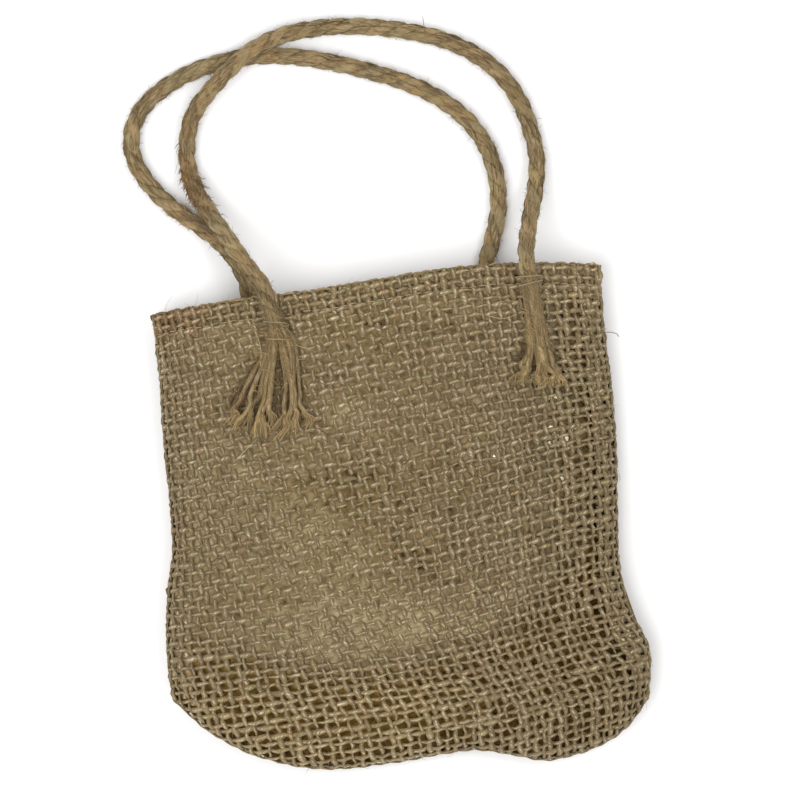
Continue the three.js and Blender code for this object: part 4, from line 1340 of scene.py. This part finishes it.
tassels = [
    tassel(
        "tassel_front_left", front_line, True, front_left_tips, (7.0 * MM, 10.8 * MM), panel_height,
        fibres=8, filling=110, frizz=9, tip_tint=golden_tip, strays=left_strays,
    ),
    tassel(
        "tassel_front_right", front_line, False, front_right_tips, (16.0 * MM, 6.6 * MM), panel_height,
        fibres=9, filling=110, frizz=9, tip_tint=golden_tip, strays=right_strays,
    ),
    tassel(
        "tassel_back_left", back_line, True, pressed_tips(back_left_ends), (7.0 * MM, 10.0 * MM),
        ground_height, fibres=3, filling=10, frizz=0, tip_tint=plain_tip, strays=[],
    ),
    tassel(
        "tassel_back_right", back_line, False, pressed_tips(back_right_ends), (7.0 * MM, 10.0 * MM),
        ground_height, fibres=3, filling=10, frizz=0, tip_tint=plain_tip, strays=[],
    ),
]


# Sewing thread
# A pale cotton thread closes the hem in a line of long stitches and ties each rope end to the cloth.
# Every stitch is a short arched tube that dips into the weave at both ends.
thread_random = np.random.default_rng(64)
thread_radius = 0.2 * MM
stitch_line = 6.3 * MM
stitch_length = 3.1 * MM


def hem_stitches(panel):
    stitches = []
    length = panel.across_run[-1]
    for start in np.arange(1.0 * MM, length - 4.0 * MM, stitch_length):
        runs = np.linspace(start, start + 0.84 * stitch_length, 6)
        across = np.interp(runs, panel.across_run, across_grid)
        down = np.full_like(across, stitch_line) + thread_random.normal(0.0, 0.2 * MM)
        share = panel.share_at(down, across)
        arch = np.sin(np.linspace(0.0, math.pi, 6)) ** 0.6
        centres = cloth_point(across, share, panel.front)
        normals = cloth_normal(across, share, panel.front)
        centres = centres + normals * ((0.1 + 0.82 * arch) * MM)[:, None]
        stitches.append(even_yarn(thread_random, centres, normals, thread_radius))
    return stitches


# A tie over a rope end, from the cloth on one side to the cloth on the other
def rope_ties(line, from_start, back_steps, half_width, height):
    ties = []
    ordered = line if from_start else line[::-1]
    axis = unit(ordered[0] - ordered[6])
    right = unit(np.cross((0.0, 0.0, 1.0), axis))
    for step, slant in back_steps:
        angle = np.linspace(-math.pi / 2, math.pi / 2, 13)
        middle = ordered[0] - axis * step * MM
        slide = axis[None, :] * (slant * MM * np.sin(angle))[:, None]
        across = right[None, :] * (half_width * np.sin(angle))[:, None]
        centres = middle + across + slide
        centres[:, 2] += height * np.cos(angle) - 1.2 * MM * np.sin(angle) ** 4
        normals = straight_up(len(angle)) + right[None, :] * (0.8 * np.sin(angle))[:, None]
        ties.append(even_yarn(thread_random, centres, unit(normals), thread_radius))
    return ties


thread_yarns = hem_stitches(front_panel) + hem_stitches(back_panel)
thread_yarns += rope_ties(front_line, True, ((0.4, 1.2), (-5.4, 1.1)), 3.8 * MM, 3.1 * MM)
thread_yarns += rope_ties(front_line, False, ((3.0, 0.3), (0.6, -0.5)), 4.4 * MM, 3.1 * MM)
thread = yarn_mesh("sewing_thread", thread_yarns, 5)
thread_material = jute_material(
    "sewing thread", pale=(0.34, 0.27, 0.16), dark=(0.17, 0.125, 0.065), twist=400.0, fineness=2.0,
    bump_depth=0.1 * MM, crest_highlight=0.2, groove_shade=0.2, sheen=0.2,
)
thread.data.materials.append(thread_material)
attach(thread, "root")
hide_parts("bag_cloth")


# Floor and light
# A plain pale floor under the bag, lit by a large soft lamp from the lower left.
# A smaller, weaker lamp on the right and a white surround fill the shadows.
floor_size = 6.0
floor_shade = (0.9, 0.9, 0.9)
bpy.ops.object.select_all(action="DESELECT")
bpy.ops.mesh.primitive_plane_add(size=floor_size, location=(0.0, 0.0, 0.0))
floor = bpy.context.object
floor.name = "floor"
floor_material = bpy.data.materials.new("pale floor")
floor_material.use_nodes = True
floor_tree = floor_material.node_tree
floor_inputs = {"Roughness": 0.9, "Base Color": floor_shade}
set_inputs(floor_tree, floor_tree.nodes["Principled BSDF"], floor_inputs)
floor.data.materials.append(floor_material)


def soft_lamp(name, place, aim, size, power):
    lamp_data = bpy.data.lights.new(name, "AREA")
    lamp_data.shape = "DISK"
    lamp_data.size = size
    lamp_data.energy = power
    lamp = bpy.data.objects.new(name, lamp_data)
    lamp.location = place
    reach = np.array(aim) - np.array(place)
    tilt = math.acos(-reach[2] / np.linalg.norm(reach))
    lamp.rotation_euler = (tilt, 0.0, math.atan2(-reach[0], reach[1]))
    bpy.context.scene.collection.objects.link(lamp)


lamp_aim = (0.0, 0.03, 0.0)
soft_lamp("main lamp", (-0.45, -0.25, 1.2), lamp_aim, 1.0, 10.0)
soft_lamp("right lamp", (0.5, 0.15, 1.1), lamp_aim, 0.4, 3.0)
world = bpy.data.worlds.new("studio")
bpy.context.scene.world = world
world.use_nodes = True
surround = {"Color": (1.0, 1.0, 1.0), "Strength": 0.84}
set_inputs(world.node_tree, world.node_tree.nodes["Background"], surround)
